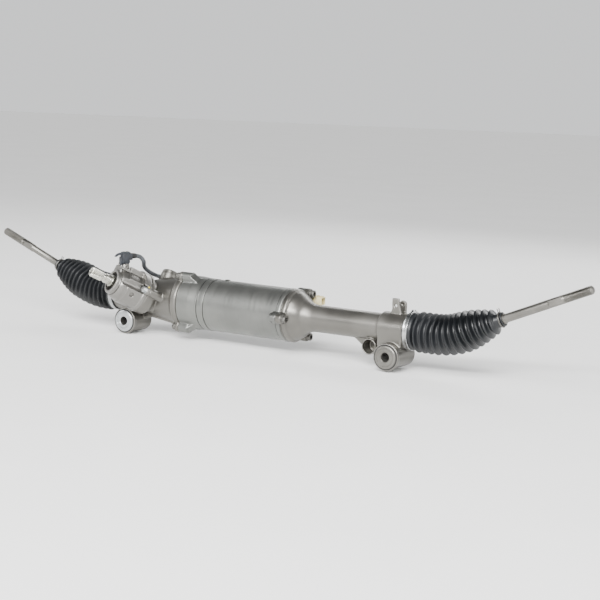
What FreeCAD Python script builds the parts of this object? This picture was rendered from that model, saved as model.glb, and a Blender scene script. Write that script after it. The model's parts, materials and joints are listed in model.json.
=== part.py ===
import FreeCAD, Part
import math
import os
import re
import Sketcher
from FreeCAD import Vector

# Electric power steering rack with a motor wound round the rack bar. Millimetres.
# Frame: +X along the rack bar, +Y from the front of the mounts to the back, +Z up.
# The origin is on the bore of the left mount, straight below the rack axis.

os.makedirs("parts", exist_ok=True)
doc = FreeCAD.newDocument("steering_rack")
sheet = doc.addObject("Spreadsheet::Sheet", "Sizes")

SIZES = [
    ("running_gap", 0.05, "radial play of a shaft in its bearing or bush"),
    ("free_gap", 0.3, "gap between faces of different moving groups"),
    # mounts
    ("mount_drop", 43.0, "rack axis above the left mount"),
    ("right_mount_x", 537.0, "right mount from the left mount"),
    ("right_mount_z", 1.4, "right mount above the left mount"),
    ("mount_bore_radius", 7.8, "bolt bore of both mount bushes"),
    ("bush_front", 46.3, "front face of both bushes before the rack axis"),
    ("left_bush_length", 60.0, ""),
    ("right_bush_length", 70.0, ""),
    ("barrel_radius", 22.0, "cast barrel round a bush"),
    ("barrel_rim_radius", 23.3, "front rim of the barrel"),
    ("barrel_rim_depth", 5.0, ""),
    ("bush_shell_radius", 19.0, "pressed steel shell"),
    ("bush_shell_wall", 1.5, ""),
    ("bush_sleeve_radius", 11.5, "inner steel sleeve"),
    ("bush_flange_radius", 20.8, "flange of the inner sleeve"),
    ("bush_flange_depth", 2.5, ""),
    # rack bar
    ("rack_radius", 13.0, ""),
    ("rack_left_end", -70.0, "end face towards the left ball joint"),
    ("rack_right_end", 607.3, "end face towards the right ball joint"),
    ("rack_bore_radius", 14.5, "clearance bore round the rack bar"),
    ("first_gap", -12, "tooth gaps of the rack, counted from the one at the pinion"),
    ("last_gap", 15, ""),
    ("rack_stud_radius", 7.0, "threaded stud of each ball socket"),
    ("rack_stud_length", 16.0, ""),
    # pinion mesh
    ("foot_x", 52.0, "where the pinion crosses the rack"),
    ("mesh_roll", 28.5, "pinion side of the rack from straight down, degrees"),
    ("pinion_skew", 26.1, "pinion axis from square to the rack, degrees"),
    ("pinion_offset", 13.0, "pinion axis from rack axis"),
    ("pinion_pitch_radius", 6.86, ""),
    ("pinion_teeth", 8, ""),
    ("pressure_angle", 25.0, "degrees"),
    ("rack_addendum", 1.1, ""),
    ("rack_dedendum", 1.9, ""),
    ("pinion_addendum", 1.6, ""),
    ("pinion_dedendum", 1.35, ""),
    ("tooth_backlash", 0.2, "at the pitch line"),
    ("pinion_half_face", 15.0, "half the tooth length"),
    # pinion housing
    ("left_end", -54.0, "left end of the pinion housing"),
    ("motor_left", 115.0, "seam of pinion housing and motor housing"),
    ("motor_right", 331.5, "seam of motor housing and right housing"),
    ("tunnel_radius", 29.0, "casting round the rack"),
    ("boot_seat_radius", 29.3, "seat of a bellows cuff"),
    ("boot_seat_length", 12.0, ""),
    ("boot_lip_length", 3.0, ""),
    ("end_bore_radius", 23.2, "bore that takes a ball socket"),
    ("end_bore_depth", 45.6, ""),
    ("flange_radius", 49.5, "left motor flange"),
    ("flange_depth", 12.0, "flange of the pinion housing"),
    ("cone_length", 58.0, "cone between the tunnel and the left motor flange"),
    ("pinion_split", 90.0, "plane between the two sub-parts of the pinion casting"),
    ("ear_circle", 52.0, "bolt circle of both motor flanges"),
    ("ear_radius", 9.0, ""),
    ("left_ear_depth", 7.0, "lugs of the pinion housing"),
    ("left_boss_length", 19.0, "bolt bosses of the motor housing, left"),
    ("right_boss_length", 14.0, "bolt bosses of the motor housing, right"),
    ("bolt_radius", 4.0, "M8 bolts"),
    ("bolt_head_radius", 7.0, ""),
    ("bolt_head_depth", 7.5, ""),
    # tower round the pinion
    ("tower_bottom", -37.0, "lower end along the pinion axis"),
    ("tower_radius", 20.5, ""),
    ("collar_radius", 32.5, ""),
    ("collar_depth", 17.0, ""),
    ("joint_level", 47.0, "seam of pinion housing and sensor housing"),
    ("mouth_level", 107.0, "rim of the sensor housing"),
    ("tip_level", 150.0, "tip of the input shaft"),
    ("input_seal_radius", 9.6, "land of the input shaft in its dust seal"),
    ("mouth_radius", 22.5, ""),
    ("mouth_bore_radius", 17.5, ""),
    ("neck_radius", 28.0, ""),
    ("sensor_body_radius", 30.5, ""),
    ("sensor_cavity_radius", 20.0, ""),
    ("sensor_flange_depth", 6.5, ""),
    ("shoulder_radius", 40.5, "raised upper part of the sensor joint"),
    ("collar_shoulder_depth", 7.0, "on the pinion housing"),
    ("cover_shoulder_depth", 13.0, "on the sensor housing"),
    ("sensor_bolt_circle", 33.6, ""),
    ("sensor_bolt_angle", 4.0, "degrees"),
    ("sensor_lug_radius", 8.0, ""),
    ("sensor_boss_length", 44.0, "bolt boss below the joint"),
    # rack guide
    ("guide_radius", 12.0, "yoke that presses the rack on the pinion"),
    ("guide_length", 19.0, "above the rack's back"),
    ("guide_boss_radius", 16.6, "at its top"),
    ("guide_boss_root", 19.5, "at the rack"),
    ("guide_boss_top", 47.0, "from the rack axis"),
    ("guide_cap_depth", 5.0, "domed cap on the boss"),
    ("guide_plug_radius", 13.4, ""),
    # motor
    ("motor_radius", 46.0, ""),
    ("motor_step_radius", 48.0, "left end of the motor housing"),
    ("motor_step_x", 153.8, ""),
    ("motor_bore_radius", 41.0, ""),
    ("motor_wall_depth", 14.0, "left end wall that holds the bearing"),
    ("groove_depth", 0.8, "machined lines on the motor housing"),
    ("bearing_bore_radius", 34.0, "left rotor bearing seat"),
    ("bearing_width", 12.0, ""),
    ("bearing_ring", 3.6, "thickness of a bearing ring"),
    ("rotor_bore_radius", 15.0, ""),
    ("rotor_radius", 21.0, ""),
    ("rotor_nut_radius", 28.0, "rotor round the ball nut"),
    ("nut_left", 290.0, ""),
    ("nut_length", 38.0, ""),
    ("nut_radius", 23.0, ""),
    ("screw_lead", 8.0, "rack travel for one turn of the rotor"),
    ("magnet_radius", 26.5, ""),
    ("core_left", 168.0, "stator core and magnets"),
    ("core_right", 272.0, ""),
    ("air_gap", 0.7, ""),
    # right housing
    ("right_flange_depth", 10.5, ""),
    ("tube_radius", 23.3, ""),
    ("tube_start", 379.0, ""),
    ("right_split", 386.0, "plane between the two sub-parts of the right casting"),
    ("block_start", 509.0, ""),
    ("block_radius", 27.5, ""),
    ("right_end", 571.0, ""),
    ("spigot_x", 492.0, "breather spigot"),
    ("spigot_z", 10.5, ""),
    ("spigot_front", 20.0, "front face before the rack axis"),
    ("spigot_radius", 13.5, ""),
    ("spigot_bore_radius", 11.5, ""),
    ("spigot_depth", 24.0, ""),
    ("lug_x", 533.5, "bracket lug on the right block"),
    ("lug_top", 95.0, ""),
    ("lug_width", 14.0, ""),
    ("lug_thickness", 5.0, ""),
    ("lug_hole_z", 83.0, ""),
    ("lug_hole_radius", 2.6, ""),
    # ball joints and tie rods
    ("left_ball_x", -96.0, ""),
    ("right_ball_x", 633.3, ""),
    ("ball_radius", 12.5, ""),
    ("seat_wall", 1.9, "ball seat"),
    ("socket_radius", 20.0, ""),
    ("socket_length", 26.0, "from the rack's end face to the ball"),
    ("socket_lip", 8.0, "mouth beyond the ball's centre"),
    ("left_rod_rise", 21.5, "tie rod above the rack axis at rest, degrees"),
    ("right_rod_rise", 23.4, "the same on the right"),
    ("left_rod_length", 249.0, "ball centre to rod tip"),
    ("right_rod_length", 255.0, ""),
    ("left_rod_radius", 6.4, ""),
    ("right_rod_radius", 7.3, ""),
    ("rod_neck_radius", 5.5, ""),
    ("thread_radius", 7.2, ""),
    ("thread_length", 50.0, ""),
    ("flats_length", 27.0, ""),
    # bellows
    ("left_boot_length", 156.0, "clamp to small end"),
    ("right_boot_length", 168.0, ""),
    ("boot_radius", 34.0, "over the ridges"),
    ("boot_root_radius", 26.0, "in the valleys"),
    ("boot_wall", 1.6, ""),
    ("boot_ridges", 13, ""),
    ("boot_end_radius", 21.0, "ridge at the small end"),
    ("boot_cuff_radius", 31.0, ""),
    ("boot_bend", 26.0, "tangent length of the bend at the ball"),
    ("clamp_width", 7.0, ""),
    ("clamp_thickness", 1.0, ""),
    ("clip_wire", 1.2, "spring clip at the small end"),
    # sensor connector, seen along the pinion axis from the mouth
    ("pad_level", 27.0, "pad for the socket above the pinion axis"),
    ("box_level", 37.5, "top of the sensor box above the pinion axis"),
    ("socket_level", 89.0, "socket along the pinion axis"),
    ("plug_bottom", 11.0, "underside of the plug above its socket plate"),
    ("plug_top", 31.0, ""),
    ("cable_radius", 3.3, ""),
    ("gland_x", 84.0, "cable grommet on the pinion housing"),
    ("gland_radius", 8.0, ""),
]
for row, (alias, number, note) in enumerate(SIZES, start=1):
    sheet.set(f"A{row}", alias)
    sheet.set(f"B{row}", str(number))
    sheet.set(f"C{row}", note)
    sheet.setAlias(f"B{row}", alias)
doc.recompute()
ALIASES = {alias for alias, number, note in SIZES}
NODES = []


def size(expression):
    """the value of an expression in the sheet's own names"""
    result = sheet.evalExpression(str(expression))
    return float(getattr(result, "Value", result))


def tied(expression):
    """the same expression as another object has to write it"""
    return re.sub(r"[a-z_]+", lambda word: "Sizes." + word[0] if word[0] in ALIASES else word[0], str(expression))


def tie(thing, **expressions):
    for prop, expression in expressions.items():
        thing.setExpression(prop, tied(expression))


def frame(origin, along, up):
    """placement with local X along one direction and local Z along another"""
    along = Vector(along).normalize()
    up = Vector(up).normalize()
    across = up.cross(along)
    return FreeCAD.Placement(Vector(origin), FreeCAD.Rotation(along, across, up, "XZY"))


def keep(thing, label):
    """marks an object as a sub-part with the file name label"""
    thing.Label = label
    NODES.append(thing)
    return thing


def plane_of(body, role):
    return next(feature for feature in body.Origin.OriginFeatures if feature.Role == role)


def hold_point(sketch, edge, end, across, up):
    """ties one end of an edge to the sketch's origin by two distances"""
    if str(across) == "0":
        sketch.addConstraint(Sketcher.Constraint("PointOnObject", edge, end, -2))
    else:
        index = sketch.addConstraint(Sketcher.Constraint("DistanceX", -1, 1, edge, end, size(across)))
        sketch.setExpression(f"Constraints[{index}]", tied(across))
    if str(up) == "0":
        sketch.addConstraint(Sketcher.Constraint("PointOnObject", edge, end, -1))
    else:
        index = sketch.addConstraint(Sketcher.Constraint("DistanceY", -1, 1, edge, end, size(up)))
        sketch.setExpression(f"Constraints[{index}]", tied(up))


def outline(body, role, corners):
    """closed sketch; a corner is (across, up) or (across, up, radius of the arc that leads to it).
    A positive radius turns left on the way to the corner, a negative one turns right."""
    sketch = body.newObject("Sketcher::SketchObject", body.Name + "Outline")
    sketch.AttachmentSupport = (plane_of(body, role), [""])
    sketch.MapMode = "FlatFace"
    points = [Vector(size(corner[0]), size(corner[1]), 0) for corner in corners]
    ends = []
    for number, corner in enumerate(corners):
        start = points[number - 1]
        stop = points[number]
        if len(corner) == 2:
            edge = sketch.addGeometry(Part.LineSegment(start, stop), False)
            ends.append((edge, 1, 2))
            continue
        radius = size(corner[2])
        chord = stop - start
        side = Vector(-chord.y, chord.x, 0).normalize() * math.copysign(1, radius)
        middle = (start + stop) / 2
        centre = middle + side * math.sqrt(max(radius ** 2 - (chord.Length / 2) ** 2, 0.0))
        circle = Part.Circle(centre, Vector(0, 0, 1), abs(radius))
        first, last = (start, stop) if radius > 0 else (stop, start)
        turn = [math.atan2(p.y - centre.y, p.x - centre.x) for p in (first, last)]
        edge = sketch.addGeometry(Part.ArcOfCircle(circle, turn[0], turn[1]), False)
        index = sketch.addConstraint(Sketcher.Constraint("Radius", edge, abs(radius)))
        sketch.setExpression(f"Constraints[{index}]", tied(f"abs({corner[2]})"))
        ends.append((edge, 1, 2) if radius > 0 else (edge, 2, 1))
    for number, (edge, first, last) in enumerate(ends):
        following, its_first, its_last = ends[(number + 1) % len(ends)]
        sketch.addConstraint(Sketcher.Constraint("Coincident", edge, last, following, its_first))
        hold_point(sketch, edge, last, corners[number][0], corners[number][1])
    return sketch


def turned(name, place, corners):
    """solid of revolution about local X, from (along the axis, radius) corners"""
    body = doc.addObject("PartDesign::Body", name)
    sketch = outline(body, "XZ_Plane", corners)
    spin = body.newObject("PartDesign::Revolution", name + "Turned")
    spin.Profile = sketch
    spin.ReferenceAxis = (sketch, ["H_Axis"])
    spin.Angle = 360
    body.Placement = place
    return body


def ring(name, place, start, stop, inner, outer):
    return turned(name, place, [(start, inner), (start, outer), (stop, outer), (stop, inner)])


def rod(name, place, start, stop, radius):
    return turned(name, place, [(start, 0), (start, radius), (stop, radius), (stop, 0)])


def plate(name, place, role, corners, depth, middle=False):
    """flat outline padded along the normal of its plane"""
    body = doc.addObject("PartDesign::Body", name)
    sketch = outline(body, role, corners)
    pad = body.newObject("PartDesign::Pad", name + "Padded")
    pad.Profile = sketch
    pad.Midplane = middle
    tie(pad, Length=depth)
    body.Placement = place
    return body


def block(name, place, low, high):
    """box between two corners given as expressions"""
    box = doc.addObject("Part::Box", name)
    tie(box, Length=f"({high[0]}) - ({low[0]})", Width=f"({high[1]}) - ({low[1]})", Height=f"({high[2]}) - ({low[2]})")
    corner = Vector(size(low[0]), size(low[1]), size(low[2]))
    box.Placement = place.multiply(FreeCAD.Placement(corner, FreeCAD.Rotation()))
    return box


def fused(name, pieces):
    union = doc.addObject("Part::MultiFuse", name)
    union.Shapes = pieces
    return union


def bored(name, base, tools):
    """base less each of the tools in turn"""
    for number, tool in enumerate(tools, start=1):
        cut = doc.addObject("Part::Cut", name if number == len(tools) else f"{name}Step{number}")
        cut.Base = base
        cut.Tool = tool
        base = cut
    return base


def halved(name, whole, level, left_label, right_label):
    """a casting kept as two sub-parts, one on each side of a plane across the rack"""
    far_side = block(f"{name}FarSide", rack_frame, (level, -200, -200), (f"{level} + 400", 200, 200))
    left = doc.addObject("Part::Cut", f"{name}Left")
    left.Base = whole
    left.Tool = far_side
    keep(left, left_label)
    right = doc.addObject("Part::Common", f"{name}Right")
    right.Base = whole
    right.Tool = far_side
    keep(right, right_label)


def group(name, pieces):
    bunch = doc.addObject("Part::Compound", name)
    bunch.Links = pieces
    return bunch


def bolt(name, place, length):
    """flanged hexagon-socket bolt: the head is at positive X, the shank runs to negative X"""
    blank = turned(name + "Blank", place, [
        (f"-({length})", 0), (f"-({length})", "bolt_radius"), (0, "bolt_radius"), (0, "bolt_head_radius + 1"),
        (1.5, "bolt_head_radius + 1"), (1.5, "bolt_head_radius"), ("bolt_head_depth - 0.8", "bolt_head_radius"),
        ("bolt_head_depth", "bolt_head_radius - 0.8"), ("bolt_head_depth", 0)])
    recess = doc.addObject("Part::Prism", name + "Recess")
    recess.Polygon = 6
    tie(recess, Circumradius="bolt_head_radius * 0.55", Height="bolt_head_depth")
    turn = FreeCAD.Placement(Vector(size("bolt_head_depth * 0.45"), 0, 0), FreeCAD.Rotation(Vector(0, 1, 0), 90))
    recess.Placement = place.multiply(turn)
    return bored(name, blank, [recess])


# directions and frames
roll = math.radians(size("mesh_roll"))
skew = math.radians(size("pinion_skew"))
X_AXIS = Vector(1, 0, 0)
Y_AXIS = Vector(0, 1, 0)
Z_AXIS = Vector(0, 0, 1)
to_pinion = Vector(0, -math.sin(roll), -math.cos(roll))
square = Vector(0, -math.cos(roll), math.sin(roll))
input_way = square * math.cos(skew) - X_AXIS * math.sin(skew)
sensor_up = (Z_AXIS - input_way * input_way.z).normalize()

rack_frame = frame((0, 0, size("mount_drop")), X_AXIS, Z_AXIS)
foot = Vector(size("foot_x"), 0, size("mount_drop")) + to_pinion * size("pinion_offset")
tower_frame = frame(foot, input_way, to_pinion * -1)
sensor_frame = frame(foot, input_way, sensor_up)
guide_frame = frame((size("foot_x"), 0, size("mount_drop")), to_pinion * -1, input_way)
left_mount = frame((0, 0, 0), Y_AXIS, Z_AXIS)
right_mount = frame((size("right_mount_x"), 0, size("right_mount_z")), Y_AXIS, Z_AXIS)

LEFT_EARS = (95, 215, 335)
RIGHT_EARS = (48, 140, 270)


def ear_frame(angle, x):
    """on the bolt circle of a motor flange; the angle is from +Z towards +Y"""
    reach = size("ear_circle")
    turn = math.radians(angle)
    spot = (x, reach * math.sin(turn), size("mount_drop") + reach * math.cos(turn))
    return frame(spot, X_AXIS, (0, math.sin(turn), math.cos(turn)))


def ears(name, angles, start, stop, x=0):
    """lugs round the bolts of a motor flange, each joined to the flange by a web"""
    pieces = []
    for number, angle in enumerate(angles, start=1):
        place = ear_frame(angle, x)
        pieces.append(rod(f"{name}Ear{number}", place, start, stop, "ear_radius"))
        web_low = (start, "-ear_radius", "-18")
        web_high = (stop, "ear_radius", "-1")
        pieces.append(block(f"{name}Web{number}", place, web_low, web_high))
    return pieces


def ear_bores(name, angles, start, stop):
    return [rod(f"{name}Bore{number}", ear_frame(angle, 0), start, stop, "bolt_radius + free_gap")
            for number, angle in enumerate(angles, start=1)]


def barrel(name, place, length):
    """cast barrel round a mount bush, with a rim at its front"""
    front = "-bush_front + bush_flange_depth"
    back = f"-bush_front + {length} - bush_flange_depth"
    return turned(name, place, [
        (front, 0), (front, "barrel_rim_radius - 1"), (f"{front} + 1", "barrel_rim_radius"),
        (f"{front} + barrel_rim_depth", "barrel_rim_radius"), (f"{front} + barrel_rim_depth + 1.5", "barrel_radius"),
        (f"{back} - 1.5", "barrel_radius"), (back, "barrel_radius - 1.5"), (back, 0)])


def barrel_bore(name, place, length):
    return rod(name, place, "-bush_front - 5", f"-bush_front + {length} + 5", "bush_shell_radius")


# pinion housing
def make_pinion_housing():
    seat = "left_end + boot_lip_length"
    tunnel = turned("PinionTunnel", rack_frame, [
        ("left_end", 0), ("left_end", "boot_seat_radius - 1"), ("left_end + 1", "boot_seat_radius"),
        (f"{seat} + boot_seat_length", "boot_seat_radius"), (f"{seat} + boot_seat_length", "tunnel_radius"),
        ("motor_left - flange_depth - cone_length - 27", "tunnel_radius"),
        ("motor_left - flange_depth - cone_length - 6", "tunnel_radius + 4", "60"),
        ("motor_left - flange_depth - 6", "flange_radius - 8"), ("motor_left - flange_depth", "flange_radius - 3"),
        ("motor_left - flange_depth", "flange_radius"), ("motor_left - 2", "flange_radius"),
        ("motor_left", "flange_radius - 2"), ("motor_left", 0)])
    tower = turned("PinionTower", tower_frame, [
        ("tower_bottom", 0), ("tower_bottom", "tower_radius - 3"), ("tower_bottom + 3", "tower_radius"),
        ("joint_level - collar_depth - 12", "tower_radius"), ("joint_level - collar_depth", "collar_radius - 1"),
        ("joint_level", "collar_radius"), ("joint_level", 0)])
    guide_boss = turned("GuideBoss", guide_frame, [
        (0, 0), (0, "guide_boss_root"), ("guide_boss_top - 3", "guide_boss_radius"),
        ("guide_boss_top", "guide_boss_radius - 0.8"), ("guide_boss_top", 0)])
    left_barrel = barrel("LeftBarrel", left_mount, "left_bush_length")
    arm = plate("LeftArm", FreeCAD.Placement(Vector(0, 6, 0), FreeCAD.Rotation()), "XZ_Plane", [
        ("-barrel_radius + 1", -2), ("-barrel_radius + 6", 18), (-22, "mount_drop - 8"),
        ("foot_x + 8", "mount_drop - 4"), ("motor_left - 6", "mount_drop - 30"),
        ("motor_left - 8", "mount_drop - 47"), ("motor_left - 36", 2), (36, 8), ("barrel_radius - 3", 2)], 20)
    neck = block("BarrelNeck", left_mount, (-30, -15, 12), (4, 17, "mount_drop - 8"))
    lugs = []
    for number, angle in enumerate((size("sensor_bolt_angle"), size("sensor_bolt_angle") + 180), start=1):
        place = lug_frame(angle)
        length = "sensor_boss_length" if number == 1 else "collar_depth"
        lugs.append(rod(f"SensorLug{number}", place, f"joint_level - {length}", "joint_level", "sensor_lug_radius"))
    raised = shoulder("CollarShoulder", "joint_level - collar_shoulder_depth", "joint_level")
    flange_ears = ears("LeftFlange", LEFT_EARS, "motor_left - left_ear_depth", "motor_left")
    solid = fused("PinionHousingSolid", [tunnel, tower, guide_boss, left_barrel, arm, neck, raised] + lugs + flange_ears)
    tools = [
        rod("RackBoreLeft", rack_frame, "left_end - 5", "motor_left + 5", "rack_bore_radius"),
        rod("EndBoreLeft", rack_frame, "left_end - 5", "left_end + end_bore_depth", "end_bore_radius"),
        turned("MotorMouth", rack_frame, [
            ("motor_left - 22", 0), ("motor_left - 22", "rack_bore_radius"), ("motor_left - 8", "bearing_bore_radius - 4"),
            ("motor_left + 5", "bearing_bore_radius - 4"), ("motor_left + 5", 0)]),
        barrel_bore("LeftBarrelBore", left_mount, "left_bush_length"),
        turned("TowerBore", tower_frame, [
            ("tower_bottom - 5", 0), ("tower_bottom - 5", 15), (-20, 15), (-20, 10), (20, 10), (20, 14), (34, 14),
            (34, 19), ("joint_level + 5", 19), ("joint_level + 5", 0)]),
        turned("GuideBore", guide_frame, [
            (4, 0), (4, "guide_radius + running_gap"), (36, "guide_radius + running_gap"), (36, "guide_plug_radius"),
            ("guide_boss_top + 5", "guide_plug_radius"), ("guide_boss_top + 5", 0)]),
    ]
    tools += ear_bores("LeftFlange", LEFT_EARS, "motor_left - 30", "motor_left + 5")
    tools += [rod(f"LeftSpotFace{number}", ear_frame(angle, 0), "motor_left - 30", "motor_left - left_ear_depth",
                  "bolt_head_radius + 2") for number, angle in enumerate(LEFT_EARS, start=1)]
    tools.append(rod("CoverClearance", tower_frame, "joint_level", "joint_level + 16", "collar_radius + free_gap"))
    for number, angle in enumerate((size("sensor_bolt_angle"), size("sensor_bolt_angle") + 180), start=1):
        place = lug_frame(angle)
        tools.append(rod(f"SensorThread{number}", place, "joint_level - 18", "joint_level + 5", "3"))
        tools.append(rod(f"LugClearance{number}", place, "joint_level", "joint_level + 16", "sensor_lug_radius + free_gap"))
    halved("PinionHousing", bored("PinionHousingWhole", solid, tools), "pinion_split", "pinion_housing", "left_motor_flange")


def shoulder(name, start, stop):
    """upper sector of the sensor joint, which stands proud of the collar"""
    disc = rod(f"{name}Disc", tower_frame, start, stop, "shoulder_radius")
    zone = block(f"{name}Zone", sensor_frame, (start, -9, 7), (stop, 50, 50))
    sector = doc.addObject("Part::Common", name)
    sector.Base = disc
    sector.Tool = zone
    return sector


def lug_frame(angle):
    """on the bolt circle of the sensor joint; the angle is from the tower frame's Y towards its Z"""
    turn = math.radians(angle)
    across = tower_frame.Rotation.multVec(Y_AXIS)
    up = tower_frame.Rotation.multVec(Z_AXIS)
    outward = across * math.cos(turn) + up * math.sin(turn)
    return frame(foot + outward * size("sensor_bolt_circle"), input_way, outward)


# sensor housing
def make_sensor_housing():
    shell = turned("SensorShell", tower_frame, [
        ("joint_level", 0), ("joint_level", "collar_radius"), ("joint_level + sensor_flange_depth", "collar_radius"),
        ("joint_level + sensor_flange_depth + 1", "sensor_body_radius"), ("mouth_level - 22", "sensor_body_radius"),
        ("mouth_level - 20", "neck_radius + 0.6"), ("mouth_level - 14", "neck_radius"),
        ("mouth_level - 7", "mouth_radius + 1.5", "-14"), ("mouth_level - 6.5", "mouth_radius - 0.4"),
        ("mouth_level - 6", "mouth_radius"), ("mouth_level - 1", "mouth_radius"), ("mouth_level", "mouth_radius - 1"),
        ("mouth_level", 0)])
    pad = block("SocketPad", sensor_frame, ("socket_level - 10", -19, 0), ("mouth_level - 3.5", 10, "pad_level"))
    box = block("SensorBox", sensor_frame, ("joint_level + sensor_flange_depth + 5", 1.5, 0),
                ("socket_level - 3", 12, "box_level"))
    lugs = []
    for number, angle in enumerate((size("sensor_bolt_angle"), size("sensor_bolt_angle") + 180), start=1):
        place = lug_frame(angle)
        lugs.append(rod(f"CoverLug{number}", place, "joint_level", "joint_level + sensor_flange_depth", "sensor_lug_radius"))
    raised = shoulder("CoverShoulder", "joint_level", "joint_level + cover_shoulder_depth")
    solid = fused("SensorHousingSolid", [shell, pad, box, raised] + lugs)
    tools = [
        turned("SensorCavity", tower_frame, [
            ("joint_level - 5", 0), ("joint_level - 5", "sensor_cavity_radius"), ("mouth_level - 24", "sensor_cavity_radius"),
            ("mouth_level - 20", "mouth_bore_radius"), ("mouth_level + 5", "mouth_bore_radius"), ("mouth_level + 5", 0)]),
        block("PadFlat", sensor_frame, ("socket_level - 2.8", -19.3, "pad_level"), ("mouth_level", 13.3, "pad_level + 9")),
        block("PadFlatTail", sensor_frame, ("socket_level - 10.3", -19.3, "pad_level"), ("socket_level", -4.2, "pad_level + 9")),
        rod("PocketBore", frame(foot + input_way * 73, tower_frame.Rotation.multVec(Vector(0, 1, -0.55)), input_way),
            26, 40, 4.0),
    ]
    for number, angle in enumerate((size("sensor_bolt_angle"), size("sensor_bolt_angle") + 180), start=1):
        tools.append(rod(f"CoverHole{number}", lug_frame(angle), "joint_level - 5", "mouth_level", "3.4"))
        tools.append(rod(f"CoverPocket{number}", lug_frame(angle), "joint_level + sensor_flange_depth", "mouth_level", "sensor_lug_radius + 0.6"))
    return keep(bored("SensorHousing", solid, tools), "sensor_housing")


# motor housing
def make_motor_housing():
    shell = turned("MotorShell", rack_frame, [
        ("motor_left", 0), ("motor_left", "motor_step_radius - 0.5"), ("motor_left + 1", "motor_step_radius"),
        ("motor_left + 24", "motor_step_radius"), ("motor_step_x", "motor_radius + 0.6"), ("motor_step_x + 4", "motor_radius + 0.6"),
        ("motor_step_x + 4.8", "motor_radius + 0.6 - groove_depth"), ("motor_step_x + 5.6", "motor_radius + 0.6"),
        ("motor_step_x + 18", "motor_radius + 0.6"), ("motor_step_x + 18.8", "motor_radius - groove_depth"),
        ("motor_step_x + 19.6", "motor_radius"), ("motor_right - 8.5", "motor_radius"),
        ("motor_right - 8", "motor_radius - groove_depth"), ("motor_right - 7.5", "motor_radius + 0.6"),
        ("motor_right - 1", "motor_radius + 0.6"), ("motor_right", "motor_radius - 0.2"), ("motor_right", 0)])
    left_bosses = ears("MotorLeft", LEFT_EARS, "motor_left", "motor_left + left_boss_length")
    right_bosses = ears("MotorRight", RIGHT_EARS, "motor_right - right_boss_length", "motor_right")
    terminal_box = block("TerminalBox", rack_frame, ("motor_right - 36", "motor_radius - 10", 12),
                         ("motor_right - 1", "motor_radius + 18", 34))
    vent_spot = frame((size("motor_left + 78"), 0, size("mount_drop + motor_radius - 1")), Z_AXIS, X_AXIS)
    vent = turned("VentBoss", vent_spot, [(0, 0), (0, 5.5), (2, 5), (3, 3.5), (3, 0)])
    solid = fused("MotorHousingSolid", [shell, terminal_box, vent] + left_bosses + right_bosses)
    tools = [
        turned("MotorBore", rack_frame, [
            ("motor_left - 5", 0), ("motor_left - 5", "bearing_bore_radius"), ("motor_left + motor_wall_depth", "bearing_bore_radius"),
            ("motor_left + motor_wall_depth", "motor_bore_radius"), ("motor_right + 5", "motor_bore_radius"),
            ("motor_right + 5", 0)]),
    ]
    tools += ear_bores("MotorLeftBolt", LEFT_EARS, "motor_left - 5", "motor_left + 18")
    tools += ear_bores("MotorRightBolt", RIGHT_EARS, "motor_right - 16", "motor_right + 5")
    return keep(bored("MotorHousing", solid, tools), "motor_housing")


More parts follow.
